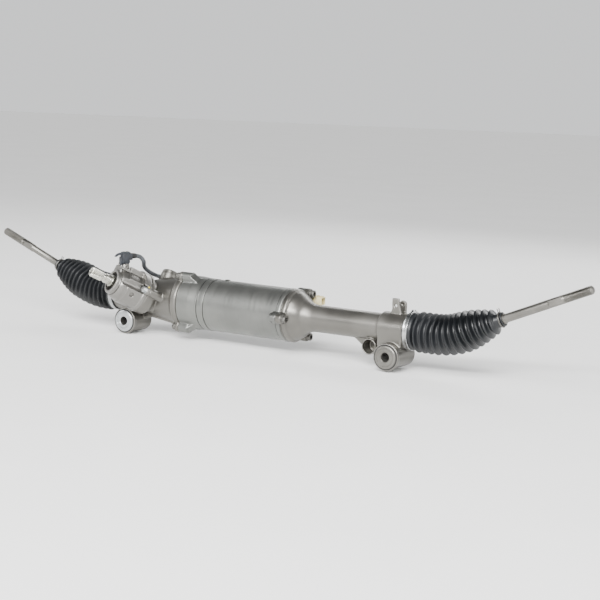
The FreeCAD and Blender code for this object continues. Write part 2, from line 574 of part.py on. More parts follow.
# right housing
def make_right_housing():
    seat_end = "right_end - boot_lip_length"
    shell = turned("RightShell", rack_frame, [
        ("motor_right", 0), ("motor_right", "motor_radius - 0.6"), ("motor_right + 0.8", "motor_radius + 0.2"),
        ("motor_right + right_flange_depth - 2", "motor_radius + 0.2"), ("motor_right + right_flange_depth", "motor_radius - 2"),
        ("motor_right + right_flange_depth", "motor_radius - 3.5"),
        ("motor_right + right_flange_depth + 19", "tube_radius + 6.5", "-45"),
        ("tube_start + 4", "tube_radius", "36"), ("block_start - 3", "tube_radius"), ("block_start", "block_radius", "8"),
        (f"{seat_end} - boot_seat_length", "block_radius"), (f"{seat_end} - boot_seat_length", "boot_seat_radius"),
        ("right_end - 1", "boot_seat_radius"), ("right_end", "boot_seat_radius - 1"), ("right_end", 0)])
    flange_ears = ears("RightFlange", RIGHT_EARS, "motor_right", "motor_right + right_flange_depth")
    right_barrel = barrel("RightBarrel", right_mount, "right_bush_length")
    arm = plate("RightArm", frame((size("block_start + 2"), 0, 0), X_AXIS, Z_AXIS), "YZ_Plane", [
        ("-block_radius", "mount_drop"), ("-block_radius", "right_mount_z + barrel_radius - 8"),
        ("right_bush_length - bush_front - 14", "right_mount_z + barrel_radius - 8"), ("block_radius", "mount_drop")], 44)
    spigot_frame = frame((size("spigot_x"), 0, size("spigot_z")), Y_AXIS, Z_AXIS)
    spigot = turned("Spigot", spigot_frame, [
        ("-spigot_front", 0), ("-spigot_front", "spigot_radius"), ("-spigot_front + 26", "spigot_radius"),
        ("-spigot_front + 30", "spigot_radius - 4"), ("-spigot_front + 30", 0)])
    spigot_web = plate("SpigotWeb", FreeCAD.Placement(Vector(0, 8, 0), FreeCAD.Rotation()), "XZ_Plane", [
        ("spigot_x - 38", "mount_drop - tube_radius + 4"), ("spigot_x + 30", "mount_drop - 10"),
        ("spigot_x + 30", "spigot_z + 2"), ("spigot_x + 4", "spigot_z - spigot_radius + 3"),
        ("spigot_x - 9", "spigot_z - 8")], 17)
    front_lug = plate("FrontLug", FreeCAD.Placement(Vector(0, -5, 0), FreeCAD.Rotation()), "XZ_Plane", [
        ("lug_x - lug_width / 2 - 7", "mount_drop + block_radius - 4"), ("lug_x - lug_width / 2", "lug_hole_z - 2", "14"),
        ("lug_x - lug_width / 2", "lug_top"), ("lug_x + lug_width / 2 - 2", "lug_top"),
        ("lug_x + lug_width / 2", "lug_hole_z"), ("lug_x + lug_width / 2 + 5", "mount_drop + block_radius - 4")],
        "lug_thickness")
    back_lug = plate("BackLug", FreeCAD.Placement(Vector(0, 12, 0), FreeCAD.Rotation()), "XZ_Plane", [
        ("lug_x - lug_width / 2 + 4", "mount_drop + block_radius - 6"), ("lug_x - lug_width / 2 + 4", "lug_hole_z + 1"),
        ("lug_x + lug_width / 2 + 4", "lug_hole_z + 1", "-lug_width / 2 - 0.05"),
        ("lug_x + lug_width / 2 + 4", "mount_drop + block_radius - 6")], "lug_thickness")
    solid = fused("RightHousingSolid",
                  [shell, right_barrel, arm, spigot, spigot_web, front_lug, back_lug] + flange_ears)
    tools = [
        turned("RightBore", rack_frame, [
            ("motor_right - 5", 0), ("motor_right - 5", "bearing_bore_radius"), ("motor_right + 9", "bearing_bore_radius"),
            ("tube_start - 8", "rack_bore_radius + 1"), ("right_end - end_bore_depth - 11", "rack_bore_radius + 1"),
            ("right_end - end_bore_depth - 11", "rack_bore_radius + 2"), ("right_end - end_bore_depth", "rack_bore_radius + 2"),
            ("right_end - end_bore_depth", "end_bore_radius"), ("right_end + 5", "end_bore_radius"), ("right_end + 5", 0)]),
        barrel_bore("RightBarrelBore", right_mount, "right_bush_length"),
        rod("SpigotBore", spigot_frame, "-spigot_front - 5", "-spigot_front + spigot_depth", "spigot_bore_radius"),
        rod("LugHole", frame((size("lug_x"), 0, size("lug_hole_z")), Y_AXIS, Z_AXIS), -20, 2, "lug_hole_radius"),
        rod("BackLugHole", frame((size("lug_x + 4"), 0, size("lug_hole_z + 1")), Y_AXIS, Z_AXIS), 2, 20, "lug_hole_radius"),
    ]
    tools += ear_bores("RightFlangeBolt", RIGHT_EARS, "motor_right - 5", "motor_right + 30")
    halved("RightHousing", bored("RightHousingWhole", solid, tools), "right_split", "right_motor_flange", "right_housing")


def make_mount_bush(side, place, length):
    """rubber bush: pressed shell, bonded rubber and flanged inner sleeve"""
    front = "-bush_front"
    inside = "-bush_front + bush_flange_depth"
    back = f"-bush_front + {length}"
    shell_bore = "bush_shell_radius - bush_shell_wall"
    shell = ring(f"{side}BushShell", place, inside, f"{back} - bush_flange_depth", shell_bore, "bush_shell_radius")
    keep(shell, f"{side.lower()}_bush_shell")
    rubber = ring(f"{side}BushRubber", place, f"{inside} + 1", f"{back} - bush_flange_depth - 1", "bush_sleeve_radius", shell_bore)
    keep(rubber, f"{side.lower()}_bush_rubber")
    sleeve = turned(f"{side}BushSleeve", place, [
        (front, "mount_bore_radius"), (front, "bush_flange_radius - 1"), (f"{front} + 1", "bush_flange_radius"),
        (inside, "bush_flange_radius"), (inside, "bush_sleeve_radius"), (back, "bush_sleeve_radius"),
        (back, "mount_bore_radius")])
    keep(sleeve, f"{side.lower()}_bush_sleeve")


# rack bar: round bar with slanted teeth on the side of the pinion
def make_rack_bar():
    bar = turned("RackBlank", rack_frame, [
        ("rack_left_end", 0), ("rack_left_end", "rack_radius - 1"), ("rack_left_end + 1", "rack_radius"),
        ("rack_right_end - 1", "rack_radius"), ("rack_right_end", "rack_radius - 1"), ("rack_right_end", 0)])
    pitch = "2 * pi * pinion_pitch_radius / pinion_teeth"
    slope = "tan(pressure_angle)"
    gap_frame = frame(Vector(size("foot_x"), 0, size("mount_drop")) + to_pinion * size("pinion_offset - pinion_pitch_radius"),
                      input_way.cross(to_pinion), to_pinion)
    half = "(2 * pi * pinion_pitch_radius / pinion_teeth) / 4"
    gap = plate("ToothGap", gap_frame, "XZ_Plane", [
        (f"-{half} - 4 * {slope}", 4), (f"-{half} + rack_dedendum * {slope}", "-rack_dedendum"),
        (f"{half} - rack_dedendum * {slope}", "-rack_dedendum"), (f"{half} + 4 * {slope}", 4)], 60, middle=True)
    doc.recompute()
    step = size(pitch) / math.cos(skew)
    first = int(size("first_gap"))
    last = int(size("last_gap"))
    gaps = [gap.Shape.translated(Vector(number * step, 0, 0)) for number in range(first, last + 1)]
    crest = "pinion_offset - pinion_pitch_radius + rack_addendum"
    land_frame = frame(Vector(size("foot_x"), 0, size("mount_drop")) + to_pinion * size(crest), X_AXIS, to_pinion)
    land = block("ToothLand", land_frame, ((first - 0.5) * step, -20, 0), ((last + 0.5) * step, 20, 20))
    gap_row = doc.addObject("Part::Feature", "ToothGaps")
    gap_row.Shape = Part.makeCompound(gaps)
    stud_holes = [
        rod("LeftStudHole", rack_frame, "rack_left_end - 2", "rack_left_end + rack_stud_length", "rack_stud_radius + running_gap"),
        rod("RightStudHole", rack_frame, "rack_right_end - rack_stud_length", "rack_right_end + 2", "rack_stud_radius + running_gap"),
    ]
    plain = bored("RackPlain", bar, [land] + stud_holes)
    toothed = doc.addObject("Part::Cut", "RackBar")
    toothed.Base = plain
    toothed.Tool = gap_row
    return keep(toothed, "rack_bar")


def involute_flank(base, tip, start_angle, side):
    """points along one flank, from the base circle to the tip circle"""
    points = []
    steps = 6
    limit = math.sqrt((tip / base) ** 2 - 1)
    for number in range(steps + 1):
        t = limit * number / steps
        radius = base * math.sqrt(1 + t * t)
        angle = start_angle + side * (t - math.atan(t))
        points.append(Vector(0, radius * math.cos(angle), radius * math.sin(angle)))
    return points


def make_pinion_shaft():
    teeth = int(size("pinion_teeth"))
    pitch_radius = size("pinion_pitch_radius")
    pressure = math.radians(size("pressure_angle"))
    base = pitch_radius * math.cos(pressure)
    tip = pitch_radius + size("pinion_addendum")
    root = pitch_radius - size("pinion_dedendum")
    half_tooth = (math.pi / teeth - size("tooth_backlash") / pitch_radius) / 2 + math.tan(pressure) - pressure
    half_face = size("pinion_half_face")
    edges = []
    corners = []
    for number in range(teeth):
        # a tooth, not a gap, is on the line of centres
        middle = math.pi / 2 + 2 * math.pi * number / teeth
        rise = involute_flank(base, tip, middle - half_tooth, 1)
        fall = involute_flank(base, tip, middle + half_tooth, -1)[::-1]
        foot_in = Vector(0, root * math.cos(middle - half_tooth), root * math.sin(middle - half_tooth))
        foot_out = Vector(0, root * math.cos(middle + half_tooth), root * math.sin(middle + half_tooth))
        corners.append((foot_in, rise, fall, foot_out))
    for number, (foot_in, rise, fall, foot_out) in enumerate(corners):
        following = corners[(number + 1) % teeth][0]
        flank = Part.BSplineCurve()
        flank.interpolate(rise)
        back = Part.BSplineCurve()
        back.interpolate(fall)
        edges += [Part.LineSegment(foot_in, rise[0]).toShape(), flank.toShape(),
                  Part.LineSegment(rise[-1], fall[0]).toShape(), back.toShape(),
                  Part.LineSegment(fall[-1], foot_out).toShape(),
                  Part.LineSegment(foot_out, following).toShape()]
    face = Part.Face(Part.Wire(Part.__sortEdges__(edges)))
    gear = doc.addObject("Part::Feature", "PinionTeeth")
    gear.Shape = face.extrude(Vector(2 * half_face, 0, 0))
    gear.Placement = tower_frame.multiply(FreeCAD.Placement(Vector(-half_face, 0, 0), FreeCAD.Rotation()))
    shaft = turned("PinionShaftTurned", tower_frame, [
        (-32, 0), (-32, "7 - running_gap"), (-21, "7 - running_gap"), (-21, 8.2), (-18, 8.2), (-17, 5),
        ("pinion_half_face", 5), (17, 8.4), (22, 8.4), (22, "8 - running_gap"), (34, "8 - running_gap"),
        (34, 9.5), ("joint_level", 9.5), ("joint_level", 3), (18, 3), (18, 0)])
    solid = fused("PinionShaft", [shaft, gear])
    return keep(solid, "pinion_shaft")


def make_pinion_parts():
    lower_in = ring("LowerInner", tower_frame, -32, -21, 7, 9.4)
    upper_in = ring("UpperInner", tower_frame, 22, 34, 8, 9.8)
    keep(group("PinionBearingInners", [lower_in, upper_in]), "pinion_bearing_inners")
    lower_out = ring("LowerOuter", tower_frame, -32, -21, 12.6, 15)
    upper_out = ring("UpperOuter", tower_frame, 22, 34, 12.2, 14)
    keep(group("PinionBearingOuters", [lower_out, upper_out]), "pinion_bearing_outers")
    cap = turned("PinionEndCap", tower_frame, [
        ("tower_bottom - 1.5", 0), ("tower_bottom - 1.5", 10), ("tower_bottom", 15), (-33, 15), (-33, 0)])
    keep(cap, "pinion_end_cap")
    tip_taper = "tip_level - 1.5"
    shaft = turned("InputShaft", tower_frame, [
        ("joint_level + 0.6", 3), ("joint_level + 0.6", 8), ("mouth_level - 14", 8), ("mouth_level - 14", "input_seal_radius"),
        ("mouth_level - 2", "input_seal_radius"), ("mouth_level - 2", 11), ("mouth_level + 2.5", 11), ("mouth_level + 2.5", 8),
        ("mouth_level + 8", 8), ("mouth_level + 9", 6.8), ("mouth_level + 14", 6.8), ("mouth_level + 15", 8.7),
        ("mouth_level + 26", 8.7), ("mouth_level + 27", 7.5), ("mouth_level + 29", 7.5), ("mouth_level + 30", 8.7),
        (tip_taper, 8.7), ("tip_level", 7.4), ("tip_level", 3)])
    keep(shaft, "input_shaft")
    keep(rod("TorsionBar", tower_frame, 19, "tip_level - 2", "3 - running_gap"), "torsion_bar")
    keep(ring("SensorRing", tower_frame, 66, 80, "8 + running_gap", 12), "torque_sensor_ring")
    keep(ring("SensorCoils", tower_frame, 64, 82, 13, "sensor_cavity_radius - running_gap"), "torque_sensor_coils")
    seal = turned("DustSeal", tower_frame, [
        ("mouth_level - 12", "input_seal_radius + running_gap"), ("mouth_level - 12", "mouth_bore_radius - running_gap"),
        ("mouth_level - 5", "mouth_bore_radius - running_gap"), ("mouth_level - 5", "mouth_bore_radius - 2"),
        ("mouth_level - 9", "mouth_bore_radius - 3"), ("mouth_level - 8", "input_seal_radius + running_gap")])
    keep(seal, "input_dust_seal")


def make_rack_guide():
    blank = turned("GuideBlank", guide_frame, [
        (3, 0), (3, "guide_radius"), ("rack_radius + guide_length - 1", "guide_radius"),
        ("rack_radius + guide_length", "guide_radius - 1"), ("rack_radius + guide_length", 0)])
    cradle = rod("GuideCradle", rack_frame, "foot_x - 20", "foot_x + 20", "rack_radius + running_gap")
    keep(bored("RackGuide", blank, [cradle]), "rack_guide")
    disc = turned("GuideSpring", guide_frame, [
        ("rack_radius + guide_length", "guide_radius - 1"), ("rack_radius + guide_length + 3", 5),
        ("rack_radius + guide_length + 5", 5), ("rack_radius + guide_length + 2", "guide_radius - 1")])
    keep(disc, "guide_spring")
    plug = turned("GuidePlug", guide_frame, [
        ("rack_radius + guide_length + 5", 0), ("rack_radius + guide_length + 5", "guide_plug_radius - running_gap"),
        ("guide_boss_top", "guide_plug_radius - running_gap"), ("guide_boss_top", "guide_boss_radius - 0.8"),
        ("guide_boss_top + guide_cap_depth - 1.2", "guide_boss_radius - 4", "-4.5"),
        ("guide_boss_top + guide_cap_depth", "guide_boss_radius - 12"), ("guide_boss_top + guide_cap_depth", 0)])
    keep(plug, "guide_plug")


def make_motor_parts():
    core = ring("StatorCore", rack_frame, "core_left", "core_right", "magnet_radius + air_gap", "motor_bore_radius - running_gap")
    keep(core, "stator_core")
    winding_profile = []
    for name, start, stop in (("Left", "core_left - 16", "core_left"), ("Right", "core_right", "core_right + 14")):
        winding_profile.append(turned(f"Winding{name}", rack_frame, [
            (start, "magnet_radius + 5"), (f"{start} + 2", "magnet_radius + 3"), (f"{stop} - 1", "magnet_radius + 2"),
            (stop, "magnet_radius + 2"), (stop, "motor_bore_radius - 3"), (f"{start} + 2", "motor_bore_radius - 3"),
            (start, "motor_bore_radius - 5")]))
    keep(group("StatorWindings", winding_profile), "stator_windings")
    magnets = ring("RotorMagnets", rack_frame, "core_left", "core_right", "rotor_radius", "magnet_radius")
    keep(magnets, "rotor_magnets")
    nut_right = "nut_left + nut_length"
    shaft = turned("RotorShaft", rack_frame, [
        ("motor_left + 1", "rotor_bore_radius"), ("motor_left + 1", "rotor_radius - 2"),
        ("motor_left + 1 + bearing_width", "rotor_radius - 2"), ("motor_left + 1 + bearing_width", "rotor_radius"),
        ("nut_left - 8", "rotor_radius"), ("nut_left - 2", "rotor_nut_radius - 1"), (f"{nut_right} - bearing_width", "rotor_nut_radius - 1"),
        (nut_right, "rotor_nut_radius - 1"), (nut_right, "nut_radius + running_gap"), ("nut_left", "nut_radius + running_gap"),
        ("nut_left", "rotor_bore_radius")])
    keep(shaft, "rotor_shaft")
    nut = ring("BallNut", rack_frame, "nut_left", nut_right, "rack_radius + free_gap", "nut_radius")
    keep(nut, "ball_nut")
    lock = ring("NutLockRing", rack_frame, nut_right, f"{nut_right} + 3", "rack_radius + 3", "rotor_nut_radius - 1")
    keep(lock, "nut_lock_ring")
    left_in = ring("LeftRotorInner", rack_frame, "motor_left + 1", "motor_left + 1 + bearing_width",
                   "rotor_radius - 2", "rotor_radius - 2 + bearing_ring")
    right_in = ring("RightRotorInner", rack_frame, f"{nut_right} - bearing_width", nut_right,
                    "rotor_nut_radius - 1", "rotor_nut_radius - 1 + bearing_ring")
    keep(group("RotorBearingInners", [left_in, right_in]), "rotor_bearing_inners")
    left_out = ring("LeftRotorOuter", rack_frame, "motor_left + 1", "motor_left + 1 + bearing_width",
                    "bearing_bore_radius - bearing_ring", "bearing_bore_radius")
    right_out = ring("RightRotorOuter", rack_frame, f"{nut_right} - bearing_width", nut_right,
                     "motor_bore_radius - bearing_ring", "motor_bore_radius")
    keep(group("RotorBearingOuters", [left_out, right_out]), "rotor_bearing_outers")
    resolver_x = "motor_left + motor_wall_depth + 3"
    rotor_ring = ring("ResolverRotor", rack_frame, resolver_x, f"{resolver_x} + 8", "rotor_radius", "rotor_radius + 5")
    keep(rotor_ring, "resolver_rotor")
    stator_ring = ring("ResolverStator", rack_frame, "motor_left + motor_wall_depth", f"{resolver_x} + 8",
                       "rotor_radius + 6", "motor_bore_radius - 1")
    keep(stator_ring, "resolver_stator")
    bush = ring("RackBush", rack_frame, "right_end - end_bore_depth - 11", "right_end - end_bore_depth",
                "rack_radius + running_gap", "rack_bore_radius + 2")
    keep(bush, "rack_bush")


def make_fasteners():
    left = [bolt(f"LeftBolt{number}", bolt_frame(angle, "motor_left - left_ear_depth", -1), "left_ear_depth + 16")
            for number, angle in enumerate(LEFT_EARS, start=1)]
    keep(group("LeftFlangeBolts", left), "left_flange_bolts")
    right = [bolt(f"RightBolt{number}", bolt_frame(angle, "motor_right + right_flange_depth", 1), "right_flange_depth + 14")
             for number, angle in enumerate(RIGHT_EARS, start=1)]
    keep(group("RightFlangeBolts", right), "right_flange_bolts")
    cover = []
    for number, angle in enumerate((size("sensor_bolt_angle"), size("sensor_bolt_angle") + 180), start=1):
        place = lug_frame(angle)
        cover.append(turned(f"CoverBolt{number}", place, [
            ("joint_level - 16", 0), ("joint_level - 16", 3), ("joint_level + sensor_flange_depth", 3),
            ("joint_level + sensor_flange_depth", 7), ("joint_level + sensor_flange_depth + 1.3", 7),
            ("joint_level + sensor_flange_depth + 1.3", 5.6), ("joint_level + sensor_flange_depth + 6.5", 5.6),
            ("joint_level + sensor_flange_depth + 7", 5), ("joint_level + sensor_flange_depth + 7", 0)]))
    keep(group("SensorBolts", cover), "sensor_housing_bolts")


def bolt_frame(angle, level, way):
    place = ear_frame(angle, size(level))
    turn = math.radians(angle)
    return frame(place.Base, X_AXIS * way, (0, math.sin(turn), math.cos(turn)))


def make_ball_joint(side, way):
    """inner tie rod end; way is -1 on the left and 1 on the right"""
    name = side.capitalize()
    ball = Vector(size(f"{side}_ball_x"), 0, size("mount_drop"))
    socket_frame = frame(ball, X_AXIS * way, Z_AXIS)
    rise = math.radians(size(f"{side}_rod_rise"))
    rod_length = f"{side}_rod_length"
    rod_way = Vector(way * math.cos(rise), 0, math.sin(rise))
    rod_frame = frame(ball, rod_way, Vector(-way * math.sin(rise), 0, math.cos(rise)))
    seat_outer = "ball_radius + seat_wall"
    cavity = "ball_radius + seat_wall + 0.1"
    blank = turned(f"{name}SocketBlank", socket_frame, [
        ("-socket_length - rack_stud_length + 1", 0), ("-socket_length - rack_stud_length + 1", "rack_stud_radius - 1"),
        ("-socket_length - rack_stud_length + 2", "rack_stud_radius"), ("-socket_length", "rack_stud_radius"),
        ("-socket_length", "rack_radius + 2"), ("-socket_length + 6", "socket_radius"),
        ("socket_lip - 7", "socket_radius"), ("socket_lip", "socket_radius - 5", "10"), ("socket_lip", 0)])
    hollow = doc.addObject("Part::Sphere", f"{name}SocketHollow")
    tie(hollow, Radius=cavity)
    hollow.Placement = socket_frame
    socket = bored(f"{name}Socket", blank, [hollow])
    keep(socket, f"{side}_ball_socket")
    washer = turned(f"{name}LockWasher", socket_frame, [
        ("-socket_length - 3", "rack_radius + running_gap"), ("-socket_length - 3", "rack_radius + 1.5"),
        ("-socket_length - 1.5", "rack_radius + 1.8"), ("-socket_length", "rack_radius + 4"),
        ("-socket_length", "rack_radius + running_gap")])
    keep(washer, f"{side}_lock_washer")
    seat_inner = "ball_radius + running_gap"
    for piece, low, high in (("back", f"-({seat_outer}) - 1", "-5"), ("front", "0.3", "socket_lip - 0.4")):
        shell = doc.addObject("Part::Sphere", f"{name}Seat{piece.capitalize()}Outer")
        tie(shell, Radius=seat_outer)
        shell.Placement = socket_frame
        core = doc.addObject("Part::Sphere", f"{name}Seat{piece.capitalize()}Inner")
        tie(core, Radius=seat_inner)
        core.Placement = socket_frame
        liner = bored(f"{name}Seat{piece.capitalize()}Liner", shell, [core])
        zone = rod(f"{name}Seat{piece.capitalize()}Zone", socket_frame, low, high, "socket_radius")
        half = doc.addObject("Part::Common", f"{name}Seat{piece.capitalize()}Whole")
        half.Base = liner
        half.Tool = zone
        if piece == "front":
            opening = rod(f"{name}SeatOpening", socket_frame, -5, "socket_lip + 5", "ball_radius - 2")
            half = bored(f"{name}Seat{piece.capitalize()}", half, [opening])
        keep(half, f"{side}_ball_seat_{piece}")
    rod_radius = f"{side}_rod_radius"
    flats_start = f"{rod_length} - thread_length - flats_length"
    thread_start = f"{rod_length} - thread_length"
    clip_level = f"{side}_boot_length - abs({side}_ball_x - {boot_root(side)})"
    stem = turned(f"{name}RodStem", rod_frame, [
        (5, 0), (5, "rod_neck_radius"), (22, "rod_neck_radius"), (36, rod_radius, "60"),
        (f"{clip_level} - 9", rod_radius), (f"{clip_level} - 8", f"{rod_radius} + 1.6"),
        (f"{clip_level} + 3", f"{rod_radius} + 1.6"), (f"{clip_level} + 4.5", rod_radius),
        (f"{thread_start} - 2", rod_radius), (thread_start, "thread_radius"),
        (f"{rod_length} - 2", "thread_radius"), (rod_length, "thread_radius - 2"), (rod_length, 0)])
    ball_solid = doc.addObject("Part::Sphere", f"{name}Ball")
    tie(ball_solid, Radius="ball_radius")
    ball_solid.Placement = rod_frame
    whole = fused(f"{name}RodSolid", [stem, ball_solid])
    flats = []
    for number, facing in enumerate((1, -1), start=1):
        low, high = ("thread_radius - 1.7", 12) if facing == 1 else (-12, "-(thread_radius - 1.7)")
        flats.append(block(f"{name}Flat{number}", rod_frame, (flats_start, low, -12), (thread_start, high, 12)))
    keep(bored(f"{name}TieRod", whole, flats), f"{side}_tie_rod")
    clip = doc.addObject("Part::Torus", f"{name}SpringClip")
    tie(clip, Radius1=f"{rod_radius} + 1.6 + boot_wall + 2 * free_gap + clip_wire", Radius2="clip_wire")
    clip.Placement = rod_frame.multiply(FreeCAD.Placement(Vector(size(f"{clip_level} - 2.5"), 0, 0),
                                                          FreeCAD.Rotation(Vector(0, 1, 0), 90)))
    keep(clip, f"{side}_boot_clip")
    return socket_frame, rod_frame


def boot_root(side):
    """where the clamp of a bellows lies along the rack"""
    if side == "left":
        return "(left_end + boot_lip_length + boot_seat_length / 2)"
    return "(right_end - boot_lip_length - boot_seat_length / 2)"


def bellows_sections(side):
    """(distance along the bellows, outer radius) from the cuff to the small end"""
    length = size(f"{side}_boot_length")
    cuff = size("boot_seat_length") / 2
    neck = size(f"{side}_rod_radius") + 1.6 + size("boot_wall") + size("free_gap")
    ridges = int(size("boot_ridges"))
    peak = size("boot_radius")
    root = size("boot_root_radius")
    end = size("boot_end_radius")
    start = cuff + size("boot_lip_length") + 2.5
    stop = length - 12
    pitch = (stop - start) / ridges
    rows = [(-cuff + 1, size("boot_cuff_radius")), (start - 2, size("boot_cuff_radius")), (start, root)]
    for number in range(ridges):
        # the last five ridges draw in towards the rod
        share = max(0.0, (number - ridges + 6) / 5) ** 1.6
        crest = peak - share * (peak - end)
        next_share = max(0.0, (number - ridges + 6.5) / 5.5) ** 1.6
        valley = root - next_share * (root - neck - 1)
        rows.append((start + (number + 0.5) * pitch, crest))
        rows.append((start + (number + 1) * pitch, valley))
    rows.append((length - 8, neck))
    rows.append((length, neck))
    return rows


def bellows_line(side, way, distance):
    """point and direction on the centre line, which bends up round the ball"""
    root = Vector(size(boot_root(side)), 0, size("mount_drop"))
    ball = Vector(size(f"{side}_ball_x"), 0, size("mount_drop"))
    along = X_AXIS * way
    rise = math.radians(size(f"{side}_rod_rise"))
    bend = size("boot_bend")
    bend_radius = bend / math.tan(rise / 2)
    straight = (ball - root).Length - bend
    if distance <= straight:
        return root + along * distance, along
    centre = root + along * straight + Z_AXIS * bend_radius
    turn = min((distance - straight) / bend_radius, rise)
    heading = along * math.cos(turn) + Z_AXIS * math.sin(turn)
    spot = centre + along * (bend_radius * math.sin(turn)) - Z_AXIS * (bend_radius * math.cos(turn))
    # the arc is a little shorter than its two tangents, so the tail starts beyond it
    tail = distance - straight - bend_radius * rise
    if tail > 0:
        spot = spot + heading * tail
    return spot, heading


def make_bellows(side, way):
    wall = size("boot_wall")
    shells = []
    for inset in (0.0, wall):
        wires = []
        for distance, radius in bellows_sections(side):
            spot, heading = bellows_line(side, way, distance)
            wires.append(Part.Wire(Part.makeCircle(radius - inset, spot, heading)))
        shells.append(Part.makeLoft(wires, True, True))
    boot = doc.addObject("Part::Feature", f"{side.capitalize()}Boot")
    boot.Shape = shells[0].cut(shells[1])
    keep(boot, f"{side}_boot")
    clamp_frame = frame((size(boot_root(side)), 0, size("mount_drop")), X_AXIS * way, Z_AXIS)
    band = ring(f"{side.capitalize()}ClampBand", clamp_frame, "-clamp_width / 2 + 0.5", "clamp_width / 2 + 0.5",
                "boot_cuff_radius", "boot_cuff_radius + clamp_thickness")
    lock = block(f"{side.capitalize()}ClampLock", clamp_frame, ("-clamp_width / 2 + 1", -6, "boot_cuff_radius + 0.4"),
                 ("clamp_width / 2", 6, "boot_cuff_radius + 3.2"))
    keep(fused(f"{side.capitalize()}Clamp", [band, lock]), f"{side}_boot_clamp")


def make_connectors():
    base = block("SocketBase", sensor_frame, ("socket_level - 2.7", -19, "pad_level"), ("mouth_level - 4", 13, "pad_level + 4"))
    base_tail = block("SocketBaseTail", sensor_frame, ("socket_level - 10", -19, "pad_level"), ("socket_level - 2", -4.3, "pad_level + 4"))
    spot = sensor_point("socket_level", -7, "pad_level + 4")
    mouth_way = Vector(input_way.x, input_way.y, 0).normalize()
    pillar = turned("SocketPillar", frame(spot, Z_AXIS, X_AXIS), [
        (-0.5, 0), (-0.5, 6), (0.5, 7.5), (4, 7.2), (5, 6.6), ("plug_bottom", 6.6), ("plug_bottom", 0)])
    lug_place = frame(sensor_point("mouth_level - 8", 9, "pad_level + 4"), sensor_up, input_way)
    lug = turned("SocketLug", lug_place, [(-1, 0), (-1, 4), (5, 4), (6, 3), (6, 0)])
    left_lug_place = frame(sensor_point("mouth_level - 8", -15.6, "pad_level + 4"), sensor_up, input_way)
    left_lug = turned("SocketLeftLug", left_lug_place, [(-1, 0), (-1, 3), (6.5, 3), (8, 2), (8, 0)])
    keep(fused("SensorSocket", [base, base_tail, pillar, lug, left_lug]), "sensor_socket")
    plug_frame = frame(spot, mouth_way, Z_AXIS)
    body = block("PlugBody", plug_frame, (-6, -4.5, "plug_bottom"), (9, 8, "plug_top - 2"))
    leg = block("PlugLeg", plug_frame, (9, -3, 7), (12, 6, "plug_top - 8"))
    top = block("PlugTop", plug_frame, (-4, -4, "plug_top - 3"), (7, 6, "plug_top"))
    cover = block("PlugCover", plug_frame, (-11, -5, "plug_bottom + 4"), (-5, 7, "plug_top - 3"))
    lever = plate("PlugLever", plug_frame, "XZ_Plane", [
        (4, "plug_top - 4"), (4, "plug_top - 1"), (14, "plug_top - 2"), (26, "plug_top - 8"),
        (25, "plug_top - 10"), (14, "plug_top - 5")], 8, middle=True)
    exit_frame = frame(plug_frame.multVec(Vector(-11, 0, size("plug_top - 8"))), mouth_way * -1, Z_AXIS)
    strain = turned("PlugExit", exit_frame, [(-2, 0), (-2, 5), (3, 4.8), (4, "cable_radius + 1.2"), (6, "cable_radius + 1.2"), (6, 0)])
    keep(fused("SensorPlug", [body, leg, top, cover, lever, strain]), "sensor_plug")
    turn = math.radians(52)
    outward = Vector(0, math.sin(turn), math.cos(turn))
    # the grommet sits where the cone of the pinion housing is as high as its far edge
    up_the_cone = "(gland_x + gland_radius - motor_left + flange_depth + cone_length + 6) / cone_length"
    gland_height = size(f"tunnel_radius + 4 + {up_the_cone} * (flange_radius - tunnel_radius - 12) + free_gap")
    gland_spot = Vector(size("gland_x"), 0, size("mount_drop")) + outward * gland_height
    gland_frame = frame(gland_spot, outward, X_AXIS)
    gland = turned("CableGrommet", gland_frame, [
        (0, 0), (0, "gland_radius"), (4, "gland_radius - 0.5"), (5, "gland_radius - 2.5"), (9, "cable_radius + 1"), (9, 0)])
    keep(gland, "cable_grommet")
    start = exit_frame.multVec(Vector(6, 0, 0))
    finish = gland_frame.multVec(Vector(9, 0, 0))
    before_gland = gland_frame.multVec(Vector(25, 0, 0))
    make_cable([start, exit_frame.multVec(Vector(16, 0, 0)), Vector(31.5, -31, 111), Vector(24, -22, 99.5), Vector(24, -8, 90),
                Vector(25, 8, 82.9), Vector(24, 26, 77), Vector(36, 44, 76), Vector(64, 55, 82), before_gland, finish])
    housing = block("MotorConnectorShell", rack_frame, ("motor_right - 1", "motor_radius + 1", 15),
                    ("motor_right + 30", "motor_radius + 16", 29))
    hollow = block("MotorConnectorHollow", rack_frame, ("motor_right + 18", "motor_radius + 3", 17),
                   ("motor_right + 35", "motor_radius + 14", 27))
    rib = block("MotorConnectorRib", rack_frame, ("motor_right + 14", "motor_radius - 0.5", 18),
                ("motor_right + 17", "motor_radius + 17.5", 30.5))
    keep(bored("MotorConnector", fused("MotorConnectorSolid", [housing, rib]), [hollow]), "motor_connector")


def sensor_point(along, across, up):
    return sensor_frame.multVec(Vector(size(along), size(across), size(up)))


